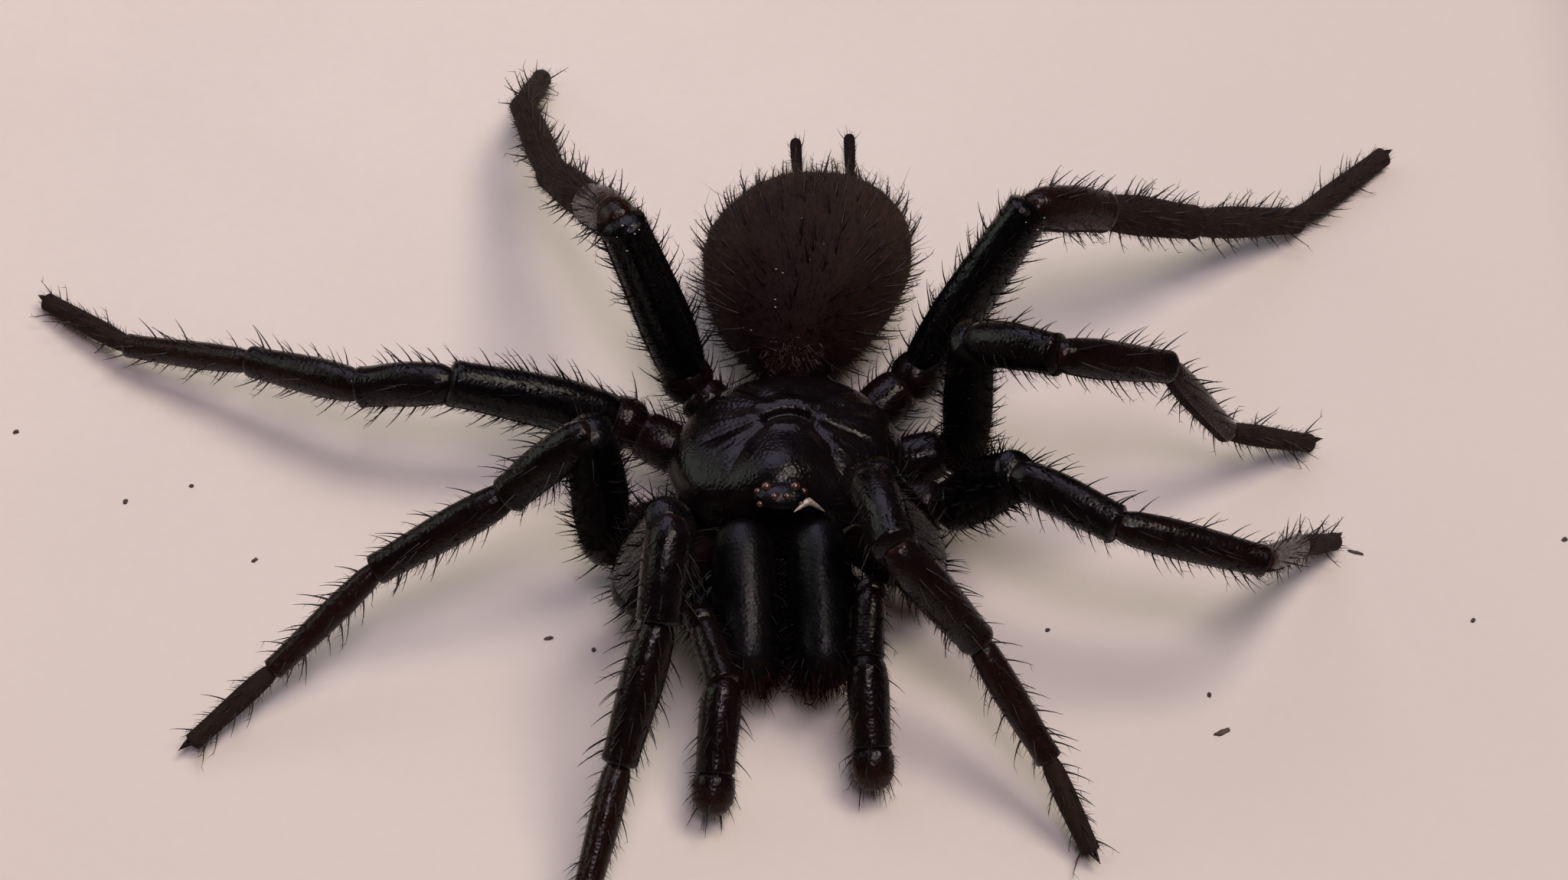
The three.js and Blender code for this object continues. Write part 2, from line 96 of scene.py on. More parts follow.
def lamp(name, direction, distance, size, power, colour, lights_card=True):
    """A round soft light that faces the middle of the specimen. Distance and size in metres."""
    data = bpy.data.lights.new(name, "AREA")
    data.shape = "DISK"
    data.size = size
    data.energy = power
    data.color = colour
    light = new_object(name, data)
    away = Vector(direction).normalized()
    light.location = metres((0, 0, 0)) + away * distance
    light.rotation_euler = away.to_track_quat("Z", "Y").to_euler()
    light.visible_diffuse = lights_card


lamp("warm_lamp", (0.35, 0.0, 1.0), 1.6, 0.74, 14.2, (1.0, 0.89, 0.75))
lamp("cool_lamp", (0.06, -0.42, 1.0), 1.6, 0.49, 9.0, (1.0, 0.83, 0.95))
lamp("window", (-0.25, 0.47, 0.84), 0.5, 0.46, 0.40, (0.78, 0.80, 1.0))
lamp("green_wall", (-0.92, 0.18, 0.385), 0.5, 0.34, 0.27, (0.88, 1.0, 0.86))
lamp("window_glare", (-0.16, 0.56, 0.81), 0.5, 0.42, 1.0, (0.82, 0.71, 1.0), lights_card=False)
lamp("wall_glare", (-0.88, 0.26, 0.40), 0.5, 0.46, 0.6, (0.95, 1.0, 0.9), lights_card=False)
world = bpy.data.worlds.new("room")
world.use_nodes = True
room_light = world.node_tree.nodes["Background"].inputs
room_light["Color"].default_value = (0.95, 0.90, 1.0, 1.0)
room_light["Strength"].default_value = 0.03
bpy.context.scene.world = world
print("Lamps:", list(bpy.data.lights.keys()))

# %% [markdown]
# Materials are small node trees. One function adds a node with its settings and its links, and
# one fills the shader at the tree's end. Another turns the hex colours that a painter would mix
# into the linear values that light needs. Many plain finishes are one noise that sets
# tone, gloss and relief together, so one function makes all of those.

# %% Helpers for materials


def linear(hex_colour):
    """An sRGB hex colour such as '#c0a080' as linear red, green, blue and alpha."""
    channels = [int(hex_colour[i:i + 2], 16) / 255 for i in (1, 3, 5)]
    curve = [c / 12.92 if c <= 0.04045 else ((c + 0.055) / 1.055) ** 2.4 for c in channels]
    return (*curve, 1.0)


def fill(tree, node, inputs):
    """Links an input to another node's output, or to a node by its first one, or sets it."""
    for key, value in inputs.items():
        if isinstance(value, bpy.types.Node):
            value = value.outputs[0]
        if isinstance(value, bpy.types.NodeSocket):
            tree.links.new(value, node.inputs[key])
        else:
            node.inputs[key].default_value = value


def add_node(tree, kind, inputs=None, **settings):
    """Adds a node of a kind, with its settings made and its inputs filled."""
    node = tree.nodes.new(kind)
    for name, value in settings.items():
        setattr(node, name, value)
    fill(tree, node, inputs or {})
    return node


def new_material(name):
    """An empty material, its node tree, and the coordinates of the object it is painted on."""
    material = bpy.data.materials.new(name)
    material.use_nodes = True
    tree = material.node_tree
    return material, tree, add_node(tree, "ShaderNodeTexCoord").outputs["Object"]


def shade(tree, **sockets):
    """Fills sockets of the one Principled shader, such as Base_Color."""
    fill(tree, tree.nodes["Principled BSDF"],
         {key.replace("_", " "): value for key, value in sockets.items()})


def blend(tree, factor, low, high, start=0.0, end=1.0, most=1.0):
    """Two colours, hex or another node's, mixed by a value as it runs from start to end. most
    is the largest share of the second."""
    share = add_node(tree, "ShaderNodeMapRange", {
        "Value": factor, "From Min": start, "From Max": end, "To Max": most})
    low, high = (linear(c) if isinstance(c, str) else c for c in (low, high))
    mix = add_node(tree, "ShaderNodeMix", {0: share, 6: low, 7: high}, data_type="RGBA")
    return mix.outputs[2]


def mottled(name, scale, tones, span, rough, detail=2.0, twist=0.0, relief=None, **sockets):
    """A material whose tone follows one noise over a span of it. Where rough is a pair, gloss
    follows the noise too, and where relief gives a strength and a depth, so does the surface."""
    material, tree, place = new_material(name)
    cloud = add_node(tree, "ShaderNodeTexNoise", {
        "Vector": place, "Scale": scale, "Detail": detail, "Distortion": twist})
    if isinstance(rough, tuple):
        rough = add_node(tree, "ShaderNodeMapRange", {
            "Value": cloud, "To Min": rough[0], "To Max": rough[1]})
    if relief:
        sockets["Normal"] = add_node(tree, "ShaderNodeBump", {
            "Height": cloud, "Strength": relief[0], "Distance": relief[1]})
    shade(tree, Base_Color=blend(tree, cloud, *tones, *span), Roughness=rough, **sockets)
    return material


print("Mid grey in linear light:", [round(c, 3) for c in linear("#808080")])

# %% [markdown]
# Spider cuticle is chitin hardened and tanned nearly black, with an index of refraction near 1.56.
# It is polished on top and finely pitted, so lamps show as broken streaks. Under a coat of fuzz it
# is dull and olive brown. At the joints thin untanned skin shows red-brown, and towards the feet
# the colour warms. The mesh carries both as attributes, named skin and warm, for every kind.

# %% Cuticle
JOINT_SKIN = "#28110e"


def cuticle_material(name, dark, mottle, warm_tone, shine, smoothest, roughest):
    """Black to brown cuticle. shine is the strength of its reflection."""
    material, tree, place = new_material(name)
    patches = add_node(
        tree, "ShaderNodeTexNoise", {"Vector": place, "Scale": 420.0, "Detail": 4.0})
    pits = add_node(tree, "ShaderNodeTexVoronoi", {"Vector": place, "Scale": 5500.0})
    wrinkle = add_node(
        tree, "ShaderNodeTexNoise", {"Vector": place, "Scale": 1500.0, "Detail": 5.0})
    colour = blend(tree, patches, dark, mottle, 0.4, 0.75)
    for mark, tone in (("warm", warm_tone), ("skin", JOINT_SKIN)):
        amount = add_node(tree, "ShaderNodeAttribute", attribute_name=mark)
        colour = blend(tree, amount.outputs["Fac"], colour, tone)
    gloss = add_node(tree, "ShaderNodeMapRange", {
        "Value": wrinkle, "From Min": 0.35, "From Max": 0.7,
        "To Min": smoothest, "To Max": roughest})
    pitted = add_node(tree, "ShaderNodeBump", {
        "Height": pits, "Strength": 0.42, "Distance": 0.000042})
    wrinkled = add_node(tree, "ShaderNodeBump", {
        "Height": wrinkle, "Strength": 0.3, "Distance": 0.0001, "Normal": pitted})
    shade(tree, Base_Color=colour, Roughness=gloss, Normal=wrinkled, IOR=1.56,
          Specular_IOR_Level=shine)
    return material


cuticle = cuticle_material(
    "tanned_black_cuticle", "#050405", "#0b090d", "#23120e", 0.12, 0.15, 0.35)
jaw_cuticle = cuticle_material(
    "worn_black_jaw_cuticle", "#050405", "#0b090d", "#1a1310", 0.11, 0.3, 0.46)
dull_cuticle = cuticle_material(
    "fuzz_clad_cuticle", "#080606", "#14100e", "#2a211e", 0.03, 0.55, 0.8)
print("Nodes in a cuticle:", len(cuticle.node_tree.nodes))

# %% [markdown]
# Bristles are the same chitin drawn out thin, and look black. Fuzz and pile are so fine that they
# scatter light without any shine. Each strand takes the mark named warm from the skin it grows
# on, so the coat turns from black to brown along a leg and over the hind body.

# %% Bristles and pile


def hair_material(name, tones, rough, shine=0.0, warm_tones=None):
    """A hair whose tone differs between strands, and turns to the warm tones with the mark."""
    material, tree, place = new_material(name)
    strand = add_node(
        tree, "ShaderNodeTexNoise", {"Vector": place, "Scale": 2500.0, "Detail": 1.0})
    colour = blend(tree, strand, *tones, 0.4, 0.7)
    if warm_tones:
        browner = blend(tree, strand, *warm_tones, 0.35, 0.7)
        warm = add_node(tree, "ShaderNodeAttribute", attribute_name="warm")
        colour = blend(tree, warm.outputs["Fac"], colour, browner)
    shade(tree, Base_Color=colour, Roughness=rough, IOR=1.55, Specular_IOR_Level=shine)
    return material


bristle_black = hair_material("black_bristle", ("#060405", "#1d120e"), 0.4, shine=0.25)
fuzz_brown = hair_material(
    "brown_black_fuzz", ("#060505", "#120d0c"), 0.8, warm_tones=("#2a2320", "#5b4f48"))
pile_brown = hair_material(
    "dark_brown_pile", ("#110405", "#1e0a0a"), 0.8, warm_tones=("#2b201a", "#5e4a3b"))
beard_brown = hair_material("red_brown_beard", ("#1c0d0b", "#40221d"), 0.7)
fringe_red = hair_material("reddish_grey_fringe", ("#453433", "#7f6c6c"), 0.8)
print("Nodes in the pile:", len(pile_brown.node_tree.nodes))

# %% [markdown]
# The hind body is soft skin under a dense pile, so it reflects almost nothing. It is reddish
# black at its front and olive brown behind, and the skin itself carries a little of that change.

# %% Abdomen skin
abdomen_skin, tree, place = new_material("velvety_abdomen_skin")
blotch = add_node(tree, "ShaderNodeTexNoise", {"Vector": place, "Scale": 260.0, "Detail": 5.0})
crease = add_node(tree, "ShaderNodeTexNoise", {"Vector": place, "Scale": 900.0, "Detail": 4.0})
warm = add_node(tree, "ShaderNodeAttribute", attribute_name="warm")
hide = blend(tree, blotch, "#1a1210", "#2e2019", 0.35, 0.7)
hide = blend(tree, warm.outputs["Fac"], "#150405", hide)
creased = add_node(tree, "ShaderNodeBump", {
    "Height": crease, "Strength": 0.6, "Distance": 0.0002})
shade(tree, Base_Color=hide, Normal=creased, Roughness=0.85, IOR=1.45, Specular_IOR_Level=0.2)
print("Abdomen skin:", abdomen_skin.name)

# %% [markdown]
# Fangs are solid, untanned at the root and polished, so they show deep red-brown. Eyes are clear
# domed lenses over dark pigment, which give a coppery glint.

# %% Fangs and eyes
fang_shell = mottled(
    "polished_red_brown_fang", 600.0, ("#210806", "#4a150d"), (0.3, 0.7), (0.15, 0.3),
    detail=3.0, IOR=1.56, Coat_Weight=0.4, Coat_Roughness=0.08)
eye_lens = mottled(
    "coppery_eye_lens", 3000.0, ("#1a0e0a", "#56362a"), (0.35, 0.65), 0.22,
    IOR=1.5, Coat_Weight=0.5, Coat_Roughness=0.05, Metallic=0.3)
print("Polished:", fang_shell.name, eye_lens.name)

# %% [markdown]
# Mount card is cotton pulp pressed flat. Up close it has a faint fibre tooth a few tenths of a
# millimetre long and slow changes of tone, and it never shines. Painted shade makes it a little
# darker along its front and right sides.

# %% Mount card
card, tree, place = new_material("cotton_mount_card")
cloud = add_node(tree, "ShaderNodeTexNoise", {"Vector": place, "Scale": 55.0, "Detail": 3.0})
tooth = add_node(tree, "ShaderNodeTexNoise", {"Vector": place, "Scale": 1800.0, "Detail": 6.0})
parts = add_node(tree, "ShaderNodeSeparateXYZ", {0: place})
pulp = blend(tree, cloud, "#ddd6d1", "#e4ddd8", 0.3, 0.7)
# Painted shade: the card is painted darker towards its front and towards its right side.
pulp = blend(tree, parts.outputs["Y"], "#d8d1cb", pulp, -0.034, 0.036)
pulp = blend(tree, parts.outputs["X"], pulp, "#d3ccc7", -0.02, 0.052)
pulp = blend(tree, tooth, pulp, "#cbbfb8", 0.3, 0.8, most=0.12)
grainy = add_node(tree, "ShaderNodeBump", {
    "Height": tooth, "Strength": 0.22, "Distance": 0.00008})
shade(tree, Base_Color=pulp, Normal=grainy, Roughness=0.93, IOR=1.5, Specular_IOR_Level=0.3)
print("Nodes in the card:", len(tree.nodes))

# %% [markdown]
# Hardboard is brown wood fibre pressed under heat. Its fibres lie at random and leave a fine
# felted surface. Both boards keep their CAD shape, which is right, and only change material.

# %% The boards
hardboard = mottled(
    "pressed_hardboard", 900.0, ("#5b3f28", "#8a6745"), (0.3, 0.7), (0.65, 0.95),
    detail=8.0, twist=1.5, relief=(0.35, 0.0002), IOR=1.5)
for node, material in (("mount_board", card), ("backing_board", hardboard)):
    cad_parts[node].data.materials.clear()
    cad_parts[node].data.materials.append(material)
    print(f"{node}: {material.name}")

# %% [markdown]
# Everything on the spider is a closed tube, egg or cone, so one small class gathers such shells
# into one mesh. It works in numpy arrays in millimetres, and keeps for each point the direction
# that hair leans, how much joint skin and brown shows, and how thickly each coat of hair grows.

# %% The shell builder
MARKS = ("skin", "warm", "bristles", "fuzz", "fringe", "inner")


class Shell:
    """Closed surfaces of one piece, in spider millimetres, with marks for hair and colour."""

    def __init__(self):
        self.points, self.faces, self.slots, self.lean = [], [], [], []
        self.marks = {mark: [] for mark in MARKS}
        self.count = 0

    def add(self, points, faces, lean, slot=0, **marks):
        """Adds one surface. slot is its material's number, or one number for each face."""
        points = np.asarray(points, float)
        self.points.append(points)
        self.lean.append(np.broadcast_to(np.asarray(lean, float), points.shape))
        for mark in MARKS:
            value = np.asarray(marks.get(mark, 0.0), float)
            self.marks[mark].append(np.broadcast_to(value, len(points)))
        self.faces += [tuple(int(i) + self.count for i in face) for face in faces]
        self.slots += [slot] * len(faces) if isinstance(slot, int) else [int(s) for s in slot]
        self.count += len(points)

    def make(self, name, materials):
        """The gathered surfaces as one smooth object, with its place in its mesh."""
        mesh = bpy.data.meshes.new(name)
        points = (np.concatenate(self.points) + np.array(PLACE)) * MM
        mesh.from_pydata(points.tolist(), [], self.faces)
        for material in materials:
            mesh.materials.append(material)
        mesh.polygons.foreach_set("material_index", self.slots)
        mesh.polygons.foreach_set("use_smooth", [True] * len(self.faces))
        for mark in MARKS:
            layer = mesh.attributes.new(mark, "FLOAT", "POINT")
            layer.data.foreach_set("value", np.concatenate(self.marks[mark]).astype("f"))
        layer = mesh.attributes.new("lean", "FLOAT_VECTOR", "POINT")
        layer.data.foreach_set("vector", np.concatenate(self.lean).astype("f").ravel())
        mesh.update()
        return new_object(name, mesh)


print("Marks on each point:", MARKS)

# %% [markdown]
# A leg article is a turned form: slim where it plugs into the one before, fullest near a third of
# its length, and rimmed at its far end. A smooth curve through a few measured stations gives it,
# and the same function makes jaw columns, palps and spinnerets.

# %% Directions and profiles
END_CROWDING = 0.45  # how far rings are drawn together towards both ends of a turned form


def heading_direction(heading, rise):
    """Unit direction from degrees of heading, turned from -Y towards +X, and degrees of rise."""
    h, r = math.radians(heading), math.radians(rise)
    return np.array([math.sin(h) * math.cos(r), -math.cos(h) * math.cos(r), math.sin(r)])


def limb_axes(heading, rise):
    """Side, along and across directions of a limb, with side level."""
    h = math.radians(heading)
    along = heading_direction(heading, rise)
    side = np.array([-math.cos(h), -math.sin(h), 0.0])
    return side, along, np.cross(side, along)


def limb_between(start, end):
    """Axes and length of a limb that runs from one point to another."""
    run = np.subtract(end, start)
    length = float(np.linalg.norm(run))
    heading, rise = math.atan2(run[0], -run[1]), math.asin(run[2] / length)
    return limb_axes(math.degrees(heading), math.degrees(rise)), length


def step_up(value, low, high):
    """0 below low, 1 above high, smooth between."""
    t = np.clip((value - low) / (high - low), 0, 1)
    return t * t * (3 - 2 * t)


def times(stations, radius):
    """A profile whose stations give shares of a radius."""
    return [(at, share * radius) for at, share in stations]


def smooth_curve(stations, values, count):
    """Values between stations on a curve that never overshoots, more points near the ends."""
    stations, values = np.asarray(stations, float), np.asarray(values, float)
    even = np.linspace(0, 1, count)
    crowded = END_CROWDING * (0.5 - 0.5 * np.cos(even * math.pi)) + (1 - END_CROWDING) * even
    at = stations[0] + (stations[-1] - stations[0]) * crowded
    steps = np.diff(values) / np.diff(stations)
    slope = np.zeros(len(values))
    same = steps[:-1] * steps[1:] > 0
    slope[1:-1][same] = 2 * steps[:-1][same] * steps[1:][same] / (steps[:-1] + steps[1:])[same]
    slope[0], slope[-1] = steps[0], steps[-1]
    k = np.clip(np.searchsorted(stations, at) - 1, 0, len(stations) - 2)
    h = stations[k + 1] - stations[k]
    t = (at - stations[k]) / h
    return at, (
        (2 * t ** 3 - 3 * t ** 2 + 1) * values[k] + (t ** 3 - 2 * t ** 2 + t) * h * slope[k]
        + (3 * t ** 2 - 2 * t ** 3) * values[k + 1] + (t ** 3 - t ** 2) * h * slope[k + 1])


print("A test profile:", np.round(smooth_curve((0, 1, 2), (0, 1, 0), 5)[1], 2))

# %% Turned forms
CAP = 0.12  # how far the point that closes a tube stands beyond its last ring, in its radii


def ring_faces(rings, sides):
    """Faces of a tube of rings, closed by a point before the first and one after the last."""
    faces = []
    for i in range(rings - 1):
        for j in range(sides):
            k = (j + 1) % sides
            faces.append((i * sides + j, (i + 1) * sides + j, (i + 1) * sides + k, i * sides + k))
    first, last = rings * sides, rings * sides + 1
    for j in range(sides):
        k = (j + 1) % sides
        faces.append((first, j, k))
        faces.append((last, (rings - 1) * sides + k, (rings - 1) * sides + j))
    return faces


def turned(shell, profile, start, axes, narrowing=1.0, rings=26, sides=24, bow=0.0,
           hump=(0.0, 0.5, 0.2), slot=0, marks=None):
    """A turned form along an axis. hump swells its upper side: height share, place and width.
    A mark is a rule of the share of length and the angle, and slot a number or such a rule."""
    side, along, across = axes
    stations = [p[0] for p in profile]
    at, radius = smooth_curve(stations, [p[1] for p in profile], rings)
    t = (at - stations[0]) / (stations[-1] - stations[0])
    angle = np.arange(sides) * 2 * math.pi / sides
    swell = 1 + hump[0] * np.exp(-((t - hump[1]) / hump[2]) ** 2)[:, None] * np.clip(
        np.sin(angle), 0, 1)[None, :]
    x = radius[:, None] * narrowing * np.cos(angle)[None, :]
    z = radius[:, None] * swell * np.sin(angle)[None, :] + (bow * 4 * t * (1 - t))[:, None]
    y = np.repeat(at[:, None], sides, 1)
    points = np.asarray(start) + (
        x[..., None] * side + y[..., None] * along + z[..., None] * across)
    ends = np.array([
        np.asarray(start) + along * (at[0] - CAP * radius[0]),
        np.asarray(start) + along * (at[-1] + CAP * radius[-1])])
    values = {}
    for mark, rule in (marks or {}).items():
        value = np.broadcast_to(rule(t[:, None], angle[None, :]), (rings, sides)).reshape(-1)
        values[mark] = np.append(value, [value[0], value[-1]])
    if not isinstance(slot, int):
        middles = [(u, v) for u in (t[:-1] + t[1:]) / 2 for v in angle + math.pi / sides]
        slot = [slot(u, v) for u, v in middles]
        slot += [slot[0], slot[-1]] * sides
    shell.add(np.vstack([points.reshape(-1, 3), ends]), ring_faces(rings, sides), along, slot,
              **values)


print("Faces of a tube of 3 rings of 8:", len(ring_faces(3, 8)))

# %% Thorns and eggs
THORN_TIP, THORN_TAPER = 0.012, 0.75


def horn(shell, base, direction, length, radius, bend=(0, 0, 0), slot=0, rings=7, sides=8,
         warm=0.0):
    """A tapering claw or thorn, bent by an offset that grows with the square of its length."""
    direction = np.asarray(direction, float) / np.linalg.norm(direction)
    level = np.cross(direction, [0, 0, 1.0])
    level = level / np.linalg.norm(level)
    upright = np.cross(level, direction)
    t = np.linspace(0, 1, rings)
    thick = radius * (1 - t) ** THORN_TAPER + THORN_TIP
    middle = np.asarray(base) + np.outer(t * length, direction) + np.outer(t ** 2, bend)
    angle = (np.arange(sides) * 2 * math.pi / sides)[None, :, None]
    points = middle[:, None, :] + thick[:, None, None] * (
        np.sin(angle) * upright - np.cos(angle) * level)
    ends = np.array([middle[0] - direction * 0.05, middle[-1] + direction * 0.02])
    shell.add(np.vstack([points.reshape(-1, 3), ends]), ring_faces(rings, sides), direction,
              slot, warm=warm)


def ball(fineness):
    """Points and faces of a unit sphere of even triangles."""
    mesh = bmesh.new()
    bmesh.ops.create_icosphere(mesh, subdivisions=fineness, radius=1.0)
    points = np.array([v.co[:] for v in mesh.verts])
    faces = [tuple(v.index for v in f.verts) for f in mesh.faces]
    mesh.free()
    return points, faces


def ellipsoid(shell, centre, half, fineness, slot=0, **marks):
    """An egg with three half widths, whose hair leans forwards."""
    points, faces = ball(fineness)
    shell.add(points * np.array(half) + np.array(centre), faces, (0, -1, 0), slot, **marks)


print("Faces of the finest ball:", len(ball(7)[1]))

# %% [markdown]
# Bristles repeat by the thousand, so Geometry Nodes grow them. The tree scatters points over the
# shell where a mark allows, turns each towards the leaning direction with some disorder, and puts
# a bent tapering hair of three sides there. Instances are made real at the end, because the
# exported model keeps only real mesh.

# %% One hair
HAIR_SIZES = ("Spacing", "Per square mm", "Length", "Thickness", "Lean", "Disorder", "Bend")
TIP_SHARE, ROOT_DEPTH, HAIR_SIDES = 0.15, 0.06, 3  # the first two as shares of a whole hair


def combined(tree, kind, operation, *terms):
    """Arithmetic on two values or two vectors, by a Math or Vector Math node."""
    return add_node(tree, kind, dict(enumerate(terms)), operation=operation)


def one_hair(tree, given, steps):
    """One hair of unit length, bent towards its leaning side and tapering to its tip."""
    middle = add_node(tree, "ShaderNodeCombineXYZ", {2: 0.5})
    tip = add_node(tree, "ShaderNodeCombineXYZ", {0: given["Bend"], 2: 1.0})
    curve = add_node(tree, "GeometryNodeCurveQuadraticBezier", {
        "Resolution": steps, "Start": (0, 0, -ROOT_DEPTH), "Middle": middle, "End": tip})
    along = add_node(tree, "GeometryNodeSplineParameter")
    taper = add_node(
        tree, "ShaderNodeMapRange", {"Value": along, "To Min": 1.0, "To Max": TIP_SHARE})
    # The section's radius is a share of the length, so that one scale serves both.
    share = combined(tree, "ShaderNodeMath", "DIVIDE", given["Thickness"], given["Length"])
    thick = combined(tree, "ShaderNodeMath", "MULTIPLY", share, taper)
    section = add_node(
        tree, "GeometryNodeCurvePrimitiveCircle", {"Resolution": HAIR_SIDES, "Radius": 1.0},
        mode="RADIUS")
    hair = add_node(tree, "GeometryNodeCurveToMesh", {
        "Curve": curve, "Profile Curve": section, "Scale": thick, "Fill Caps": True})
    return add_node(tree, "GeometryNodeSetShadeSmooth", {"Geometry": hair})


print("Sizes that each coat gives:", HAIR_SIZES)

# %% The bristle tree
SHORTEST = 0.55  # share of the longest hair's length
PER_SQUARE_METRE = 1e6  # from a number for each square millimetre
DISORDER_SALTS, LENGTH_SALT = (11, 12, 13), 21  # keep the random numbers of one seed apart


def bristle_tree(mark, steps):
    """A node group that grows hairs on a shell where the mark says, named inputs for sizes."""
    tree = bpy.data.node_groups.new(f"hairs_on_{mark}", "GeometryNodeTree")
    face = tree.interface
    face.new_socket("Geometry", in_out="INPUT", socket_type="NodeSocketGeometry")
    for name in HAIR_SIZES:
        face.new_socket(name, in_out="INPUT", socket_type="NodeSocketFloat")
    face.new_socket("Seed", in_out="INPUT", socket_type="NodeSocketInt")
    face.new_socket("Material", in_out="INPUT", socket_type="NodeSocketMaterial")
    face.new_socket("Geometry", in_out="OUTPUT", socket_type="NodeSocketGeometry")
    given = tree.nodes.new("NodeGroupInput").outputs
    result = tree.nodes.new("NodeGroupOutput")

    def spread(low, high, salt):
        """A different number for each hair, between low and high."""
        seed = combined(tree, "ShaderNodeMath", "ADD", given["Seed"], salt)
        return add_node(
            tree, "FunctionNodeRandomValue", {2: low, 3: high, 8: seed},
            data_type="FLOAT").outputs[1]

    where, lean_to = (
        add_node(tree, "GeometryNodeInputNamedAttribute", {"Name": name}, data_type=kind)
        for name, kind in ((mark, "FLOAT"), ("lean", "FLOAT_VECTOR")))
    closest = combined(tree, "ShaderNodeMath", "MULTIPLY", given["Spacing"], MM)
    density = combined(
        tree, "ShaderNodeMath", "MULTIPLY", given["Per square mm"], PER_SQUARE_METRE)
    dots = add_node(tree, "GeometryNodeDistributePointsOnFaces", {
        "Mesh": given["Geometry"], "Distance Min": closest, "Density Max": density,
        "Density Factor": where, "Seed": given["Seed"]}, distribute_method="POISSON")
    # Direction: the surface's normal, plus the leaning direction, plus a little disorder.
    toward = add_node(
        tree, "ShaderNodeVectorMath", {0: lean_to, "Scale": given["Lean"]}, operation="SCALE")
    random = add_node(tree, "ShaderNodeCombineXYZ", {
        i: spread(-1.0, 1.0, salt) for i, salt in enumerate(DISORDER_SALTS)})
    messy = add_node(
        tree, "ShaderNodeVectorMath", {0: random, "Scale": given["Disorder"]}, operation="SCALE")
    total = combined(tree, "ShaderNodeVectorMath", "ADD", dots.outputs["Normal"], toward)
    total = combined(tree, "ShaderNodeVectorMath", "ADD", total, messy)
    stand = add_node(tree, "FunctionNodeAlignRotationToVector", {"Vector": total}, axis="Z")
    facing = add_node(
        tree, "FunctionNodeAlignRotationToVector",
        {"Rotation": stand, "Vector": lean_to}, axis="X", pivot_axis="Z")
    length = combined(tree, "ShaderNodeMath", "MULTIPLY", given["Length"], MM)
    size = combined(
        tree, "ShaderNodeMath", "MULTIPLY", length, spread(SHORTEST, 1.0, LENGTH_SALT))
    placed = add_node(tree, "GeometryNodeInstanceOnPoints", {
        "Points": dots, "Instance": one_hair(tree, given, steps), "Rotation": facing,
        "Scale": size})
    real = add_node(tree, "GeometryNodeRealizeInstances", {"Geometry": placed})
    coloured = add_node(
        tree, "GeometryNodeSetMaterial", {"Geometry": real, "Material": given["Material"]})
    both = tree.nodes.new("GeometryNodeJoinGeometry")
    tree.links.new(coloured.outputs[0], both.inputs[0])
    tree.links.new(given["Geometry"], both.inputs[0])
    tree.links.new(both.outputs[0], result.inputs[0])
    return tree


HAIR_TREES = {mark: bristle_tree(mark, steps) for mark, steps in (
    ("bristles", 3), ("fuzz", 2), ("fringe", 2), ("inner", 2))}
print("Nodes in a hair tree:", len(HAIR_TREES["fuzz"].nodes))

# %% [markdown]
# Real coats differ from part to part: stout black bristles stand far apart on the legs, and the
# hind body's pile is fine and close. One table holds them all, so they can be set side by side.
# Each coat is one modifier, and the finished mesh then stands in for its faceted solid.

# %% Coats of hair
# mark it grows on, material, then the seven HAIR_SIZES, of which lengths are in mm
COATS = {
    "leg_bristles": ("bristles", bristle_black, 0.38, 3.0, 1.5, 0.065, 0.75, 0.2, 0.16),
    "leg_fuzz": ("fuzz", fuzz_brown, 0.12, 18.0, 0.5, 0.02, 0.9, 0.5, 0.15),
    "palp_bristles": ("bristles", bristle_black, 0.38, 3.0, 1.2, 0.05, 0.75, 0.25, 0.15),
    "palp_fuzz": ("fuzz", fuzz_brown, 0.12, 20.0, 0.45, 0.019, 0.9, 0.5, 0.15),
    "shield_bristles": ("bristles", bristle_black, 0.4, 2.4, 0.7, 0.03, 0.7, 0.5, 0.25),
    "abdomen_bristles": ("bristles", bristle_black, 0.55, 2.0, 1.8, 0.08, 1.0, 0.3, 0.2),
    "abdomen_pile": ("fuzz", pile_brown, 0.11, 20.0, 0.42, 0.024, 1.0, 0.5, 0.25),
    "abdomen_down": ("fuzz", pile_brown, 0.28, 3.4, 1.3, 0.015, 0.55, 0.35, 0.15),
    "abdomen_fringe": ("fringe", fringe_red, 0.085, 44.0, 0.5, 0.02, 0.5, 0.4, 0.1),
    "spinneret_pile": ("fuzz", pile_brown, 0.11, 28.0, 0.4, 0.018, 1.2, 0.4, 0.2),
    "spinneret_bristles": ("bristles", bristle_black, 0.35, 3.5, 0.9, 0.03, 1.0, 0.4, 0.2),
    "jaw_bristles": ("bristles", bristle_black, 0.35, 3.2, 1.1, 0.045, 0.7, 0.4, 0.2),
    "jaw_fuzz": ("fuzz", fuzz_brown, 0.12, 24.0, 0.5, 0.02, 0.7, 0.4, 0.25),
    "jaw_inner_fuzz": ("inner", fuzz_brown, 0.13, 24.0, 0.85, 0.035, 0.5, 0.35, 0.2),
    "jaw_beard": ("fringe", beard_brown, 0.13, 18.0, 0.8, 0.025, 1.0, 0.5, 0.2)}


def grow(piece, seeds):
    """Grows coats on a piece, each from its seed, and turns the result into plain mesh."""
    for coat, seed in seeds.items():
        mark, material, *sizes = COATS[coat]
        modifier = piece.modifiers.new(coat, "NODES")
        modifier.node_group = HAIR_TREES[mark]
        values = dict(zip(HAIR_SIZES, sizes)) | {"Seed": seed, "Material": material}
        for socket in modifier.node_group.interface.items_tree:
            if socket.in_out == "INPUT" and socket.name in values:
                modifier[socket.identifier] = values[socket.name]
    shown = piece.evaluated_get(bpy.context.evaluated_depsgraph_get())
    mesh = bpy.data.meshes.new_from_object(shown)
    piece.modifiers.clear()
    piece.data = mesh


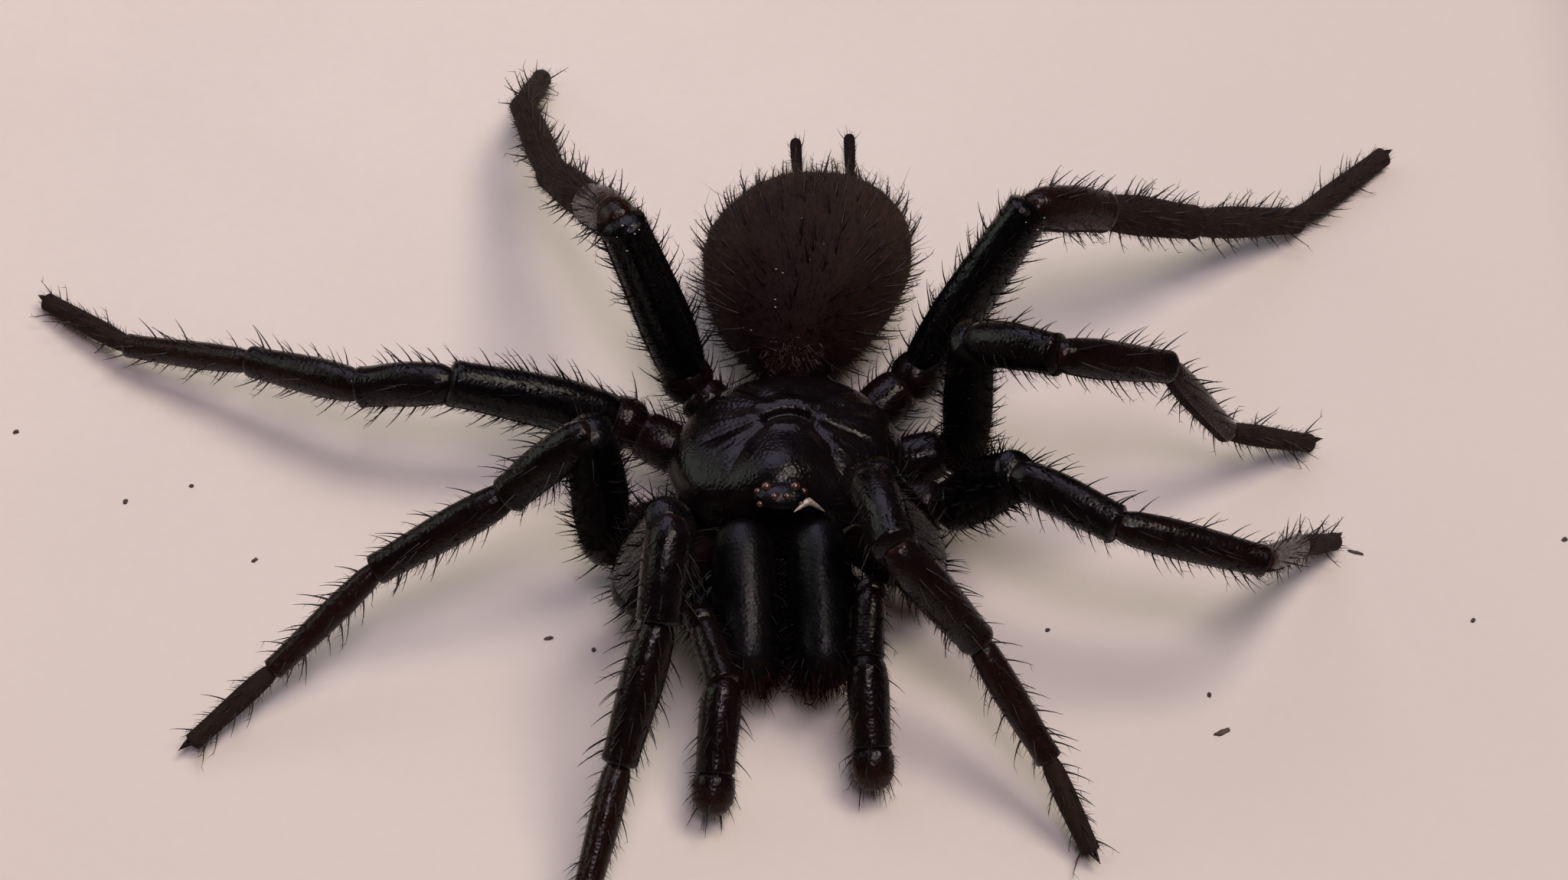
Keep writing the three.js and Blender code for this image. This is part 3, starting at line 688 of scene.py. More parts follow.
def dress(piece, node, slot, **seeds):
    """Gives a piece its coats, each named with its seed, and the place of its faceted solid."""
    if seeds:
        grow(piece, seeds)
    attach(piece, "root")
    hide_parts(node)
    triangles = sum(len(p.vertices) - 2 for p in piece.data.polygons)
    print(f"{piece.name}: {triangles} triangles")


print("Coats:", len(COATS))

# %% [markdown]
# Years in a drawer left tiny pale grains of dust on the hind body and on two knees. Each grain is
# a small squashed ball that sits where the specimen shows a pale fleck.

# %% Dust on the specimen
pale_dust = mottled(
    "pale_dust_grains", 5000.0, ("#77706c", "#b9b1ab"), (0.35, 0.65), 0.9, IOR=1.5)
# x, y, z and half width in mm
DUST = {
    "abdomen": (
        (-0.38, 3.39, 9.08, 0.06), (-0.06, 3.15, 9.07, 0.05), (-0.43, 2.1, 8.28, 0.05),
        (-0.43, 1.82, 8.03, 0.06), (-1.62, 1.41, 6.78, 0.045), (1.26, 3.74, 9.4, 0.035),
        (0.87, 5.86, 10.08, 0.03), (1.96, 4.54, 9.63, 0.03)),
    "leg_4_right": (
        (-7.73, 1.14, 14.72, 0.06), (-7.26, 1.07, 14.79, 0.07), (-7.14, 0.75, 14.56, 0.06),
        (-8.45, 0.81, 13.7, 0.05), (-7.53, 0.49, 13.64, 0.06), (-6.93, 0.93, 14.65, 0.05),
        (-7.99, 0.68, 14.4, 0.04), (-10.44, 6.0, 10.99, 0.05)),
    "leg_4_left": (
        (12.35, 3.56, 11.75, 0.06), (12.68, 3.94, 12.2, 0.05), (11.76, 3.48, 12.38, 0.04))}


def dust_on(shell, name, slot):
    """Sets the grains that lie on one piece."""
    for x, y, z, half in DUST.get(name, ()):
        ellipsoid(shell, (x, y, z), (half, 0.8 * half, 0.6 * half), 2, slot)


print("Grains:", sum(len(grains) for grains in DUST.values()))

# %% [markdown]
# The legs. Each keeps the real order of articles: coxa and trochanter at the body, then femur,
# patella, tibia, metatarsus and tarsus with two claws. The pose of each article is given as a
# heading and a rise, the same numbers as in the CAD, so the dressed leg lies where its solid lies.

# %% Leg measurements
FOOT_HEIGHT = 0.78
LEG_LENGTHS = {
    1: (9.2, 4.6, 6.7, 6.5, 4.7), 2: (8.6, 5.3, 7.4, 6.9, 5.1),
    3: (8.6, 4.8, 6.6, 7.8, 6.1), 4: (10.2, 5.4, 7.0, 8.1, 6.9)}
LEG_RADII = {
    1: (1.45, 1.22, 1.06, 0.74, 0.52), 2: (1.42, 1.05, 0.92, 0.64, 0.5),
    3: (1.42, 1.12, 0.96, 0.68, 0.53), 4: (1.42, 1.16, 1.0, 0.8, 0.58)}
LEG_NARROWING = (0.84, 0.94, 0.96, 1.0, 1.0)
LEG_BOW = (0.16, 0.05, 0.0, -0.06, -0.04)
LEG_HUMP, PATELLA_HUMP = (0.05, 0.35, 0.25), (0.1, 0.6, 0.22)  # height share, place, width
JOINT_SHOW = (0.3, 0.3, 0.7, 0.6, 0.9)  # how much skin shows at the start of each article
# How brown each article is, and how bare of fuzz on top: legs 1 to 3, then legs 4.
LEG_WARMTH = ((0.0, 0.1, 0.2, 0.55, 0.85), (0.0, 0.55, 0.75, 0.85, 0.95))
LEG_BARE = ((0.3, 0.9, 0.9, 0.8, 0.1), (0.3, 0.5, 0.15, 0.1, 0.0))
COXA_ROOT_Z, COXA_RADIUS, COXA_NECK, TROCHANTER_RADIUS = 3.15, 1.25, 0.66, 1.3
CLAW = {"length": 0.85, "radius": 0.12, "turn": 12, "droop": -0.22, "apart": 0.16, "inset": 0.1}
# pair, root beside the sternum, hip, heading of each article, rise of each article
LEGS = {
    "leg_1_right": (
        1, (-3.1, -9.2), (-7.1, -12.9), (36, -9, -20, -16, -16), (69, -37, -38, -29, -27)),
    "leg_2_right": (
        2, (-3.3, -7.1), (-8.7, -9.9), (-45, -77, -74, -56, -53), (86, -42, -27, -30, -22)),
    "leg_3_right": (
        3, (-3.2, -4.8), (-8.0, -2.4), (-91, -101, -117, -115, -130), (18, -16, -13, -18, -10)),
    "leg_4_right": (
        4, (-2.3, -2.6), (-4.9, 0.3), (-117, -159, -157, -166, 174), (71, -37, -31, -20, -34)),
    "leg_1_left": (
        1, (3.2, -9.0), (6.7, -11.5), (-67, 14, 71, 41, 32), (71, 6, -52, -38, -39)),
    "leg_2_left": (
        2, (3.5, -6.9), (8.6, -7.6), (29, 59, 88, 153, 143), (57, -3, -19, -42, -43)),
    "leg_3_left": (
        3, (3.4, -4.7), (8.9, -3.8), (7, 59, 109, 117, 115), (87, 20, -28, -61, -35)),
    "leg_4_left": (
        4, (2.8, -2.6), (6.7, 0.7), (127, 123, 121, 123, 134), (49, -33, -35, -30, -2))}


def article(length, radius, end):
    """Stations of one article: plug, shoulder, belly, waist, rim and rounded end."""
    plug = times(((-0.3 * radius, 0.25), (-0.2 * radius, 0.55), (0.02 * length, 0.74)), radius)
    belly = times(((0.12 * length, 0.93), (0.38 * length, 1.02)), radius)
    waist = [(0.72 * length, 0.5 * (radius + end))]
    rim = times(((0.93 * length, 1.0), (length, 1.02), (length + 0.12 * end, 0.86)), end)
    return plug + belly + waist + rim + times([(length + 0.24 * end, 0.45)], end)


print("Legs:", list(LEGS))

# %% Dress the legs


def leg(name, pair, root, hip, headings, rises):
    """One leg as a smooth shell from coxa to claws."""
    shell = Shell()
    lengths, radii = LEG_LENGTHS[pair], LEG_RADII[pair]
    climb = sum(l * math.sin(math.radians(r)) for l, r in zip(lengths, rises))
    start, joint = np.array([*root, COXA_ROOT_Z]), np.array([*hip, FOOT_HEIGHT - climb])
    axes, long = limb_between(start, joint)
    neck = long - 0.8 * TROCHANTER_RADIUS
    coxa = ((-0.3, 0.3), (0, COXA_NECK), (0.35 * neck, 0.84), (0.7 * neck, 1.0),
            (0.93 * neck, 0.94), (1.04 * neck, 0.5))
    trochanter = (
        (neck - 0.35, 0.45), (neck + 0.05, 0.78), (neck + 0.5, 0.98), (long, 1.0),
        (long + 0.45 * TROCHANTER_RADIUS, 0.84), (long + 0.8 * TROCHANTER_RADIUS, 0.35))
    hairy = {
        "skin": lambda t, a: 0.2 + 0.4 * (1 - step_up(t, 0.02, 0.06)),
        "bristles": lambda t, a: 0.9 * step_up(t, 0.15, 0.25),
        "fuzz": lambda t, a: 0.7 * step_up(t, 0.15, 0.25)}
    turned(shell, times(coxa, COXA_RADIUS), start, axes, rings=18, marks=hairy)
    turned(shell, times(trochanter, TROCHANTER_RADIUS), start, axes, rings=16, marks=hairy)
    for i, length in enumerate(lengths):
        axes = limb_axes(headings[i], rises[i])
        end = 0.5 * (radii[i] + radii[i + 1]) if i < 4 else 0.9 * radii[i]
        bare, show, brown = LEG_BARE[pair == 4][i], JOINT_SHOW[i], LEG_WARMTH[pair == 4][i]
        marks = {
            "skin": lambda t, a, show=show: show * (1 - step_up(t, 0.02, 0.055)),
            "warm": lambda t, a, brown=brown: brown,
            "bristles": lambda t, a: step_up(t, 0.07, 0.13) * (1 - step_up(t, 0.93, 0.96)) * (
                0.45 + 0.55 * np.sin(a) ** 2),
            "fuzz": lambda t, a, bare=bare: step_up(t, 0.05, 0.09) * (
                1 - bare * step_up(np.sin(a), -0.5, 0.5))}
        turned(shell, article(length, radii[i], end), joint, axes, LEG_NARROWING[i],
               rings=28, sides=28, bow=LEG_BOW[i], hump=PATELLA_HUMP if i == 1 else LEG_HUMP,
               slot=lambda t, a, bare=bare: bare < 0.25 or math.sin(a) < -0.4, marks=marks)
        joint = joint + axes[1] * length
    side, along, across = axes
    for turn in (-1, 1):
        base = joint + side * turn * CLAW["apart"] - along * CLAW["inset"] + across * CLAW["inset"]
        point = heading_direction(headings[4] + turn * CLAW["turn"], min(rises[4], 0) * 0.2 + 8)
        horn(shell, base, point, CLAW["length"], CLAW["radius"], (0, 0, CLAW["droop"]), warm=0.4)
    dust_on(shell, name, 2)
    return shell.make(name + "_limb", [cuticle, dull_cuticle, pale_dust])


for number, (name, measures) in enumerate(LEGS.items()):
    dress(leg(name, *measures), name, "black_cuticle",
          leg_bristles=10 + number, leg_fuzz=40 + number)

# %% [markdown]
# The palps are short feelers like thin legs without a metatarsus. Their blunt tips are clad in
# dull brown pads. They are made as the legs are, with one article less and no claws.

# %% Dress the palps
PALP_LENGTHS, PALP_RADII, PALP_COXA_RADIUS = (4.4, 3.2, 4.2, 1.9), (0.75, 0.78, 0.98, 1.0), 0.8
PALPS = {
    "pedipalp_right": (
        (-2.3, -10.2, 2.2), (-4.45, -12.9, 2.3), (12, 18, -6, -6), (48, -11, -36, -36)),
    "pedipalp_left": (
        (2.1, -10.2, 2.2), (3.85, -12.1, 2.2), (6, -4, 4, 4), (60, -19, -36, -36))}


def palp(name, root, hip, headings, rises):
    """One palp as a smooth shell."""
    shell = Shell()
    joint = np.array(hip)
    axes, long = limb_between(root, joint)
    coxa = ((-0.2, 0.4), (0.1 * long, 0.85), (0.5 * long, 1.0), (long, 0.9), (long + 0.4, 0.4))
    turned(shell, times(coxa, PALP_COXA_RADIUS), root, axes, rings=16, sides=20,
           marks={"bristles": lambda t, a: 0.9, "fuzz": lambda t, a: 1.0})
    for i, length in enumerate(PALP_LENGTHS):
        axes = limb_axes(headings[i], rises[i])
        end = 0.475 * (PALP_RADII[i] + PALP_RADII[min(i + 1, 3)])
        profile, pad = article(length, PALP_RADII[i], end), float(i == 3)
        if pad:
            profile[6:] = times(((0.78 * length, 0.97), (0.95 * length, 0.76),
                                 (length + 0.1, 0.5), (length + 0.2, 0.2)), end)
        marks = {
            "skin": lambda t, a: 0.5 * (1 - step_up(t, 0.02, 0.06)),
            "warm": lambda t, a, pad=pad: 0.2 + 0.6 * pad * step_up(t, 0.3, 0.8),
            "bristles": lambda t, a: step_up(t, 0.1, 0.18) * (0.4 + 0.6 * np.sin(a) ** 2),
            "fuzz": lambda t, a, pad=pad: step_up(t, 0.1, 0.2) * (0.4 + 0.6 * pad)}
        turned(shell, profile, joint, axes, sides=26, marks=marks,
               slot=lambda t, a: math.sin(a) < -0.4)
        joint = joint + axes[1] * length
    return shell.make(name + "_limb", [cuticle, dull_cuticle])


for number, (name, measures) in enumerate(PALPS.items()):
    dress(palp(name, *measures), name, "black_cuticle",
          palp_bristles=70 + number, palp_fuzz=80 + number)

# %% [markdown]
# The carapace is one smooth domed shield with a raised head. A short curved groove, the fovea,
# marks where the stomach muscles pull from inside. A low ring rises round it, and shallow furrows
# run from it to the leg bases. A fine triangle mesh of a sphere is moved point by point onto that
# form, because the relief then runs over it without seams.

# %% Body measurements
BODY_TURN, BODY_AXIS_X = 0.07, 0.54
CARAPACE = {
    "centre": (0.1, -5.6, 5.0), "half_width": 5.6, "half_length": 4.85, "top": 2.6, "under": 0.8}
CROWN_FULLNESS, FRONT_TAPER, SIDE_SAG = 0.72, 0.13, 0.1
RIM = {"out": 0.13, "z": 0.02, "width": 0.09}
HEAD_RISE = {"height": 1.35, "y": -9.2, "length": 2.7, "width": 2.5}
STERNUM_CENTRE, STERNUM_HALF = (0.1, -6.0, 3.6), (2.3, 4.3, 1.05)
FOVEA = {"y": -4.5, "bend_radius": 1.9, "half_width": 1.35, "depth": 0.4, "width": 0.2}
RING = {"half_width": 1.75, "half_length": 0.95, "ahead": 0.1, "height": 0.1, "width": 0.3}
# degrees from straight ahead, reach and depth of each furrow
FURROWS = ((34, 4.6, 0.15), (70, 4.4, 0.12), (100, 4.2, 0.11), (132, 3.4, 0.1))
FURROW_WIDTH, FRONT_FURROW_BOW = 0.34, 0.09
FAN_FOLDS, FAN_HEIGHT = 44, 0.011
BANK = {"height": 0.05, "behind": 0.55, "width": 0.3}
SWELLING_HEIGHT, SWELLING_RADIUS = 0.05, 2.6
print("Furrows on each side:", len(FURROWS))

# %% The carapace


def relief(sideways, y):
    """Height of furrows and fovea on the shield, from the distance off the midline and y."""
    back = y - FOVEA["y"]
    from_fovea = np.hypot(sideways, back)
    height = np.zeros_like(y)
    for degrees, reach, depth in FURROWS:
        a, bow = math.radians(degrees), FRONT_FURROW_BOW if degrees < 60 else 0
        for turn in (-1, 1):
            ahead = sideways * turn * math.sin(a) - back * math.cos(a)
            off = sideways * turn * math.cos(a) + back * math.sin(a)
            off = off - bow * ahead * (reach - ahead)
            along = step_up(ahead, 0.5, 1.6) * (1 - step_up(ahead, reach - 0.9, reach + 0.4))
            height -= depth * along * np.exp(-(off / FURROW_WIDTH) ** 2)
    # Fine folds fan out from the fovea over the sides.
    fan = FAN_HEIGHT * np.sin(FAN_FOLDS * np.arctan2(back, np.abs(sideways)))
    height += fan * step_up(from_fovea, 1.6, 2.6) * (
        1 - step_up(from_fovea, 3.6, 4.8)) * step_up(np.abs(sideways), 0.8, 2.0)
    # The fovea is an arc with a low bank behind it, and the ring rises round both.
    arc = np.hypot(sideways, back + FOVEA["bend_radius"]) - FOVEA["bend_radius"]
    inside = (back > -1.2) * (
        1 - step_up(np.abs(sideways), FOVEA["half_width"] - 0.35, FOVEA["half_width"]))
    height -= FOVEA["depth"] * inside * np.exp(-(arc / FOVEA["width"]) ** 2)
    height += BANK["height"] * inside * np.exp(-((arc - BANK["behind"]) / BANK["width"]) ** 2)
    ring = np.hypot(sideways / RING["half_width"], (back + RING["ahead"]) / RING["half_length"])
    height += RING["height"] * np.exp(-((ring - 1) / RING["width"]) ** 2)
    return height + SWELLING_HEIGHT * np.exp(-(from_fovea / SWELLING_RADIUS) ** 2)


def shield(shell):
    """The carapace as one closed smooth form with its relief."""
    v, faces = ball(7)
    cx, cy, cz = CARAPACE["centre"]
    crown = np.sign(v[:, 2]) * np.abs(v[:, 2]) ** CROWN_FULLNESS
    front = np.where(v[:, 1] < 0, 1 - FRONT_TAPER * v[:, 1] ** 2, 1)
    rim = RIM["out"] * np.exp(-((v[:, 2] - RIM["z"]) / RIM["width"]) ** 2)
    level = np.hypot(v[:, 0], v[:, 1]) + 1e-9
    x = v[:, 0] * CARAPACE["half_width"] * front + rim * v[:, 0] / level
    y = cy + v[:, 1] * CARAPACE["half_length"] + rim * v[:, 1] / level
    head = HEAD_RISE["height"] * np.exp(
        -((y - HEAD_RISE["y"]) / HEAD_RISE["length"]) ** 2 - (x / HEAD_RISE["width"]) ** 2)
    dome = np.where(crown > 0, crown * (CARAPACE["top"] + head), crown * CARAPACE["under"])
    upward = step_up(v[:, 2], 0.12, 0.5)
    sideways = x + cx - BODY_AXIS_X - cy * BODY_TURN
    sag = step_up(v[:, 2], 0.0, 0.15) * (1 - step_up(v[:, 2], 0.15, 0.34))
    z = cz + dome + upward * relief(sideways, y) - SIDE_SAG * sag
    points = np.stack([cx + x + (y - cy) * BODY_TURN, y, z], 1)
    below = v[np.array(faces)].mean(1)[:, 2] < 0
    edge = (1 - step_up(v[:, 2], 0.12, 0.3)) * step_up(v[:, 2], -0.1, 0.05)
    shell.add(points, faces, (0, -1, 0.1), 2 * below, warm=0.1,
              bristles=0.35 * edge + 0.03 * upward)


shell = Shell()
shield(shell)
ellipsoid(shell, STERNUM_CENTRE, STERNUM_HALF, 5, slot=2, warm=0.5)
print("Points of carapace and sternum:", shell.count)

# %% [markdown]
# Eight eyes stand close together on a low mound, four on each side. At the spider's own left of
# them a pale V is painted as a highlight, where the lamps glint on the front of the head over the
# hinge of the jaw. Its two arms are made as thorns.

# %% The eyes and the painted highlight of the V
EYE_MOUND_CENTRE, EYE_MOUND_HALF = (-0.15, -9.95, 7.75), (1.3, 0.8, 0.62)
# from the middle of the mound: sideways, back and up, then the radius
EYES = (
    (0.3, -0.34, 0.48, 0.2), (0.98, -0.5, 0.1, 0.17), (1.1, 0.16, 0.24, 0.18),
    (0.68, 0.26, 0.48, 0.25))
# Painted highlight: the V's two pale thorns stand for the lamps' glint on the front of the head.
V_HIGHLIGHT_PLACE, V_HIGHLIGHT_RADIUS = (1.17, -10.26, 7.86), 0.17
V_HIGHLIGHT_ARMS = (((-0.62, -0.58, 0.0), 0.95), ((0.8, 0.5, -1.45), 1.7))  # direction and length
v_painted_highlight = mottled(
    "pale_v_painted_highlight", 3500.0, ("#6d625a", "#b8aea2"), (0.35, 0.65), 0.3, IOR=1.45)
ellipsoid(shell, EYE_MOUND_CENTRE, EYE_MOUND_HALF, 5)
for turn in (-1, 1):
    for x, y, z, radius in EYES:
        centre = np.array(EYE_MOUND_CENTRE) + np.array([turn * x, y, z])
        ellipsoid(shell, centre, (radius,) * 3, 4, slot=1)
# The pale thorns of the painted highlight.
for way, reach in V_HIGHLIGHT_ARMS:
    horn(shell, V_HIGHLIGHT_PLACE, way, reach, V_HIGHLIGHT_RADIUS, slot=3, sides=10)
piece = shell.make("cephalothorax_shield", [cuticle, eye_lens, dull_cuticle, v_painted_highlight])
dress(piece, "cephalothorax", "black_cuticle", shield_bristles=91)

# %% [markdown]
# The hind body is a soft egg under a close brown pile, with long black bristles lying back over
# it and a reddish fringe along its front edge. The skin is the CAD's egg with a few gentle dents
# from drying. The hair grows by the same tree as on the legs. The narrow waist is a turned form.

# %% Abdomen form
ABDOMEN = {"centre": (1.2, 7.2, 5.6), "half_width": 5.3, "rear": 4.45, "front": 7.3,
           "half_height": 4.55, "blunt": 1.7, "lean": 0.105, "droop": 0.7}
DENT_DEPTH, SKIN_SINK, HAIR_SINK = 0.13, 0.08, 0.25
WAIST = (0.5, -0.9, 4.7), (0.75, 1.6, 4.9)


def egg(v):
    """Points of the abdomen's egg from points of a unit sphere."""
    cx, cy, cz = ABDOMEN["centre"]
    y = v[:, 1] * np.where(v[:, 1] > 0, ABDOMEN["rear"], ABDOMEN["front"])
    forwards = np.where(v[:, 1] < 0, v[:, 1] ** 2, 0)
    round_off = np.sqrt(np.maximum(1 - forwards, 1e-6))
    blunt = (1 - np.minimum(np.abs(v[:, 1]), 1) ** ABDOMEN["blunt"]) ** (1 / ABDOMEN["blunt"])
    full = np.where(v[:, 1] < 0, blunt / round_off, 1)
    x = cx + v[:, 0] * ABDOMEN["half_width"] * full + y * ABDOMEN["lean"]
    z = cz + v[:, 2] * ABDOMEN["half_height"] - ABDOMEN["droop"] * forwards
    return np.stack([x, cy + y, z], 1)


v, faces = ball(6)
v = v[:, [0, 2, 1]]
faces = [face[::-1] for face in faces]  # the swapped axes turned them inside out
dents = np.array([  # broad ones and half as deep narrow ones
    noise.noise(Vector(p) * 1.9) + 0.5 * noise.noise(Vector(p) * 4.3) for p in v])
skin_points = egg(v) + v * (DENT_DEPTH * dents - SKIN_SINK)[:, None]
backwards = np.array([0, 1.0, 0]) - v * v[:, 1:2] - np.array([0, 0, HAIR_SINK])
print("Deepest dent, mm:", round(DENT_DEPTH * float(np.abs(dents).max()), 2))

# %% Dress the abdomen
# Where bristles thin out in front, where the fringe grows, and how brown the hair is.
front_patch = np.exp(-((v[:, 1] + 0.93) / 0.12) ** 2) * step_up(v[:, 2], -0.2, 0.3)
front_edge = np.exp(-((v[:, 1] + 0.945) / 0.04) ** 2) * step_up(v[:, 2], 0.0, 0.12) * (
    1 - step_up(np.abs(v[:, 0]), 0.27, 0.36))
brown = step_up(
    v[:, 1] + 0.35 * np.abs(v[:, 0]) + 0.35 * np.clip(v[:, 0], 0, 1) + 0.12 * dents, -0.7, 0.55)
shell = Shell()
shell.add(skin_points, faces, backwards, 0, bristles=1 - 0.6 * front_patch, fuzz=1.0,
          fringe=front_edge, warm=brown)
axes, long = limb_between(*WAIST)
turned(shell, [(-0.3, 0.3), (0, 0.68), (0.4 * long, 0.62), (0.8 * long, 0.8), (long, 0.4)],
       WAIST[0], axes, rings=16, sides=20, slot=1, marks={"skin": lambda t, a: 0.25})
dust_on(shell, "abdomen", 2)
piece = shell.make("abdomen_velvet", [abdomen_skin, cuticle, pale_dust])
dress(piece, "abdomen", "velvet_abdomen",
      abdomen_bristles=101, abdomen_pile=102, abdomen_down=104, abdomen_fringe=103)

# %% [markdown]
# Two long spinnerets of three articles each stick out behind, and spin the silk of a live spider.
# They are dull and nearly black and carry short hair, so they share the hind body's skin.

# %% Dress the spinnerets
SPINNERET_RADII = (0.52, 0.43, 0.3)
SPINNERETS = {
    "spinneret_right": ((0.9, 10.9, 2.7), (0.6, 17.3, 3.5)),
    "spinneret_left": ((3.5, 10.6, 2.8), (3.4, 17.6, 3.5))}
for number, (name, ends) in enumerate(SPINNERETS.items()):
    axes, long = limb_between(*ends)
    shell = Shell()
    for i, radius in enumerate(SPINNERET_RADII):
        begin, end = long * i / 3, long * (i + 1) / 3
        root = times(((begin - 0.1, 0.35), (begin + 0.15, 0.8), (begin + 0.5, 0.92)), radius)
        tip = times(((end - 0.2, 1.0), (end, 0.85), (end + 0.12, 0.4)),
                    SPINNERET_RADII[min(i + 1, 2)])
        turned(shell, root + tip, ends[0], axes, rings=18, sides=18, marks={
            "fuzz": lambda t, a: step_up(t, 0.1, 0.2),
            "bristles": lambda t, a: 0.7 * step_up(t, 0.1, 0.2)})
    dress(shell.make(name + "_skin", [abdomen_skin]), name, "velvet_abdomen",
          spinneret_pile=110 + number, spinneret_bristles=120 + number)

# %% [markdown]
# The jaws are two stout columns, deeper than they are wide, that meet along the midline. Their
# tops shine, fuzz fills the gap between them, and their lower ends carry a red-brown beard.

# %% Dress the jaws
JAW = {"y": -10.6, "z": 5.75, "end_x": 0.2, "spacing": 1.77, "rise": -21, "narrowing": 0.75}
SIDES = (("right", -1), ("left", 1))
JAW_PROFILE = ((0, 1.7), (1.2, 2.06), (3, 2.16), (5, 2.14), (6.4, 2.0), (7.1, 1.6), (7.4, 1.0))
for name, turn in SIDES:
    start = np.array([
        BODY_AXIS_X + JAW["y"] * BODY_TURN + turn * JAW["spacing"], JAW["y"], JAW["z"]])
    run = JAW_PROFILE[-1][0] * math.cos(math.radians(JAW["rise"]))
    heading = math.degrees(math.atan2(JAW["end_x"] + turn * JAW["spacing"] - start[0], run))
    marks = {
        "bristles": lambda t, a: 0.25 * step_up(t, 0.2, 0.5) + 0.75 * step_up(t, 0.72, 0.85) * (
            1 - 0.5 * np.clip(np.sin(a), 0, 1)),
        "fuzz": lambda t, a: 0.5 * step_up(t, 0.7, 0.9),
        "fringe": lambda t, a: step_up(t, 0.94, 0.98),
        "inner": lambda t, a, turn=turn: step_up(t, 0.05, 0.12) * step_up(
            turn * np.cos(a), 0.5, 0.8)}
    shell = Shell()
    turned(shell, [(-0.5, 0.9), *JAW_PROFILE], start, limb_axes(heading, JAW["rise"]),
           JAW["narrowing"], rings=44, sides=48, marks=marks, slot=lambda t, a, turn=turn: (
               t > 0.93 or math.sin(a) < -0.3 or turn * math.cos(a) > 0.8))
    piece = shell.make(f"chelicera_{name}_column", [jaw_cuticle, dull_cuticle])
    dress(piece, f"chelicera_{name}", "black_cuticle", jaw_bristles=130 + turn,
          jaw_fuzz=140 + turn, jaw_inner_fuzz=150 + turn, jaw_beard=160 + turn)

# %% [markdown]
# The fangs fold back beneath the jaws, each a long cone that hangs in a shallow arc. They are
# turned forms without any hair.

# %% Dress the fangs
FANG = {"y": -15.9, "z": 0.87, "length": 4.3, "sag": 0.25, "base": 0.42, "tip": 0.08}
for name, turn in SIDES:
    base = np.array([JAW["end_x"] + turn * JAW["spacing"], FANG["y"], FANG["z"]])
    profile = [(-0.15, 0.2)] + [
        (s * FANG["length"], FANG["base"] + (FANG["tip"] - FANG["base"]) * s ** 1.3)
        for s in np.linspace(0, 1, 8)]
    shell = Shell()
    turned(shell, profile, base, limb_axes(180, 0), rings=28, sides=20, bow=-FANG["sag"])
    dress(shell.make(f"fang_{name}_polished", [fang_shell]), f"fang_{name}", "fang_cuticle")

# %% [markdown]
# The rails are planed limed oak with a satin finish, mitred at the corners. Grain runs along each
# rail, so the mesh carries a grain coordinate in millimetres: along, inwards and up. The rounded
# front edges are drawn finely enough to look turned.

# %% Wood
wood, tree = new_material("satin_limed_oak")[:2]
grain = add_node(tree, "ShaderNodeAttribute", attribute_name="grain").outputs["Vector"]
stretched = add_node(tree, "ShaderNodeMapping", {"Vector": grain, "Scale": (0.035, 0.9, 0.9)})
rings = add_node(tree, "ShaderNodeTexNoise", {
    "Vector": stretched, "Scale": 0.55, "Detail": 4.0, "Distortion": 0.6})
thin = add_node(tree, "ShaderNodeMapping", {"Vector": grain, "Scale": (0.25, 5.0, 5.0)})
pores = add_node(tree, "ShaderNodeTexNoise", {
    "Vector": thin, "Scale": 1.3, "Detail": 3.0})
timber = blend(tree, rings, "#a8937a", "#cbb89c", 0.3, 0.7)
timber = blend(tree, pores, timber, "#75614b", 0.56, 0.72, most=0.55)
satin = add_node(tree, "ShaderNodeMapRange", {"Value": pores, "To Min": 0.32, "To Max": 0.6})
open_pores = add_node(tree, "ShaderNodeBump", {
    "Height": pores, "Strength": 0.25, "Distance": 0.00015}, invert=True)
shade(tree, Base_Color=timber, Roughness=satin, Normal=open_pores, IOR=1.5, Coat_Weight=0.2,
      Coat_Roughness=0.3)
print("Nodes in the wood:", len(tree.nodes))

# %% Rails
FRAME_SIZE, RAIL_WIDTH, RAIL_DEPTH, REBATE_WIDTH = 140.0, 18.0, 28.0, 6.0
EDGE_ROUND, BACK_ROUND, GAP, LIP = 2.5, 0.6, 0.3, 8.8
GRAIN_SHIFT = 300  # mm: each rail is cut from another stretch of the same wood


def rail_section():
    """Outline of a rail from its outer face inwards and upwards, in mm, anticlockwise."""
    shoulder = RAIL_WIDTH - REBATE_WIDTH
    points = [(BACK_ROUND, 0), (shoulder, 0), (shoulder, LIP), (RAIL_WIDTH, LIP)]
    for centre, begin in ((RAIL_WIDTH - EDGE_ROUND, 0), (EDGE_ROUND, 90)):
        for degrees in range(begin, begin + 91, 9):
            a = math.radians(degrees)
            points.append((centre + EDGE_ROUND * math.cos(a),
                           RAIL_DEPTH - EDGE_ROUND + EDGE_ROUND * math.sin(a)))
    points.append((0, BACK_ROUND))
    return points


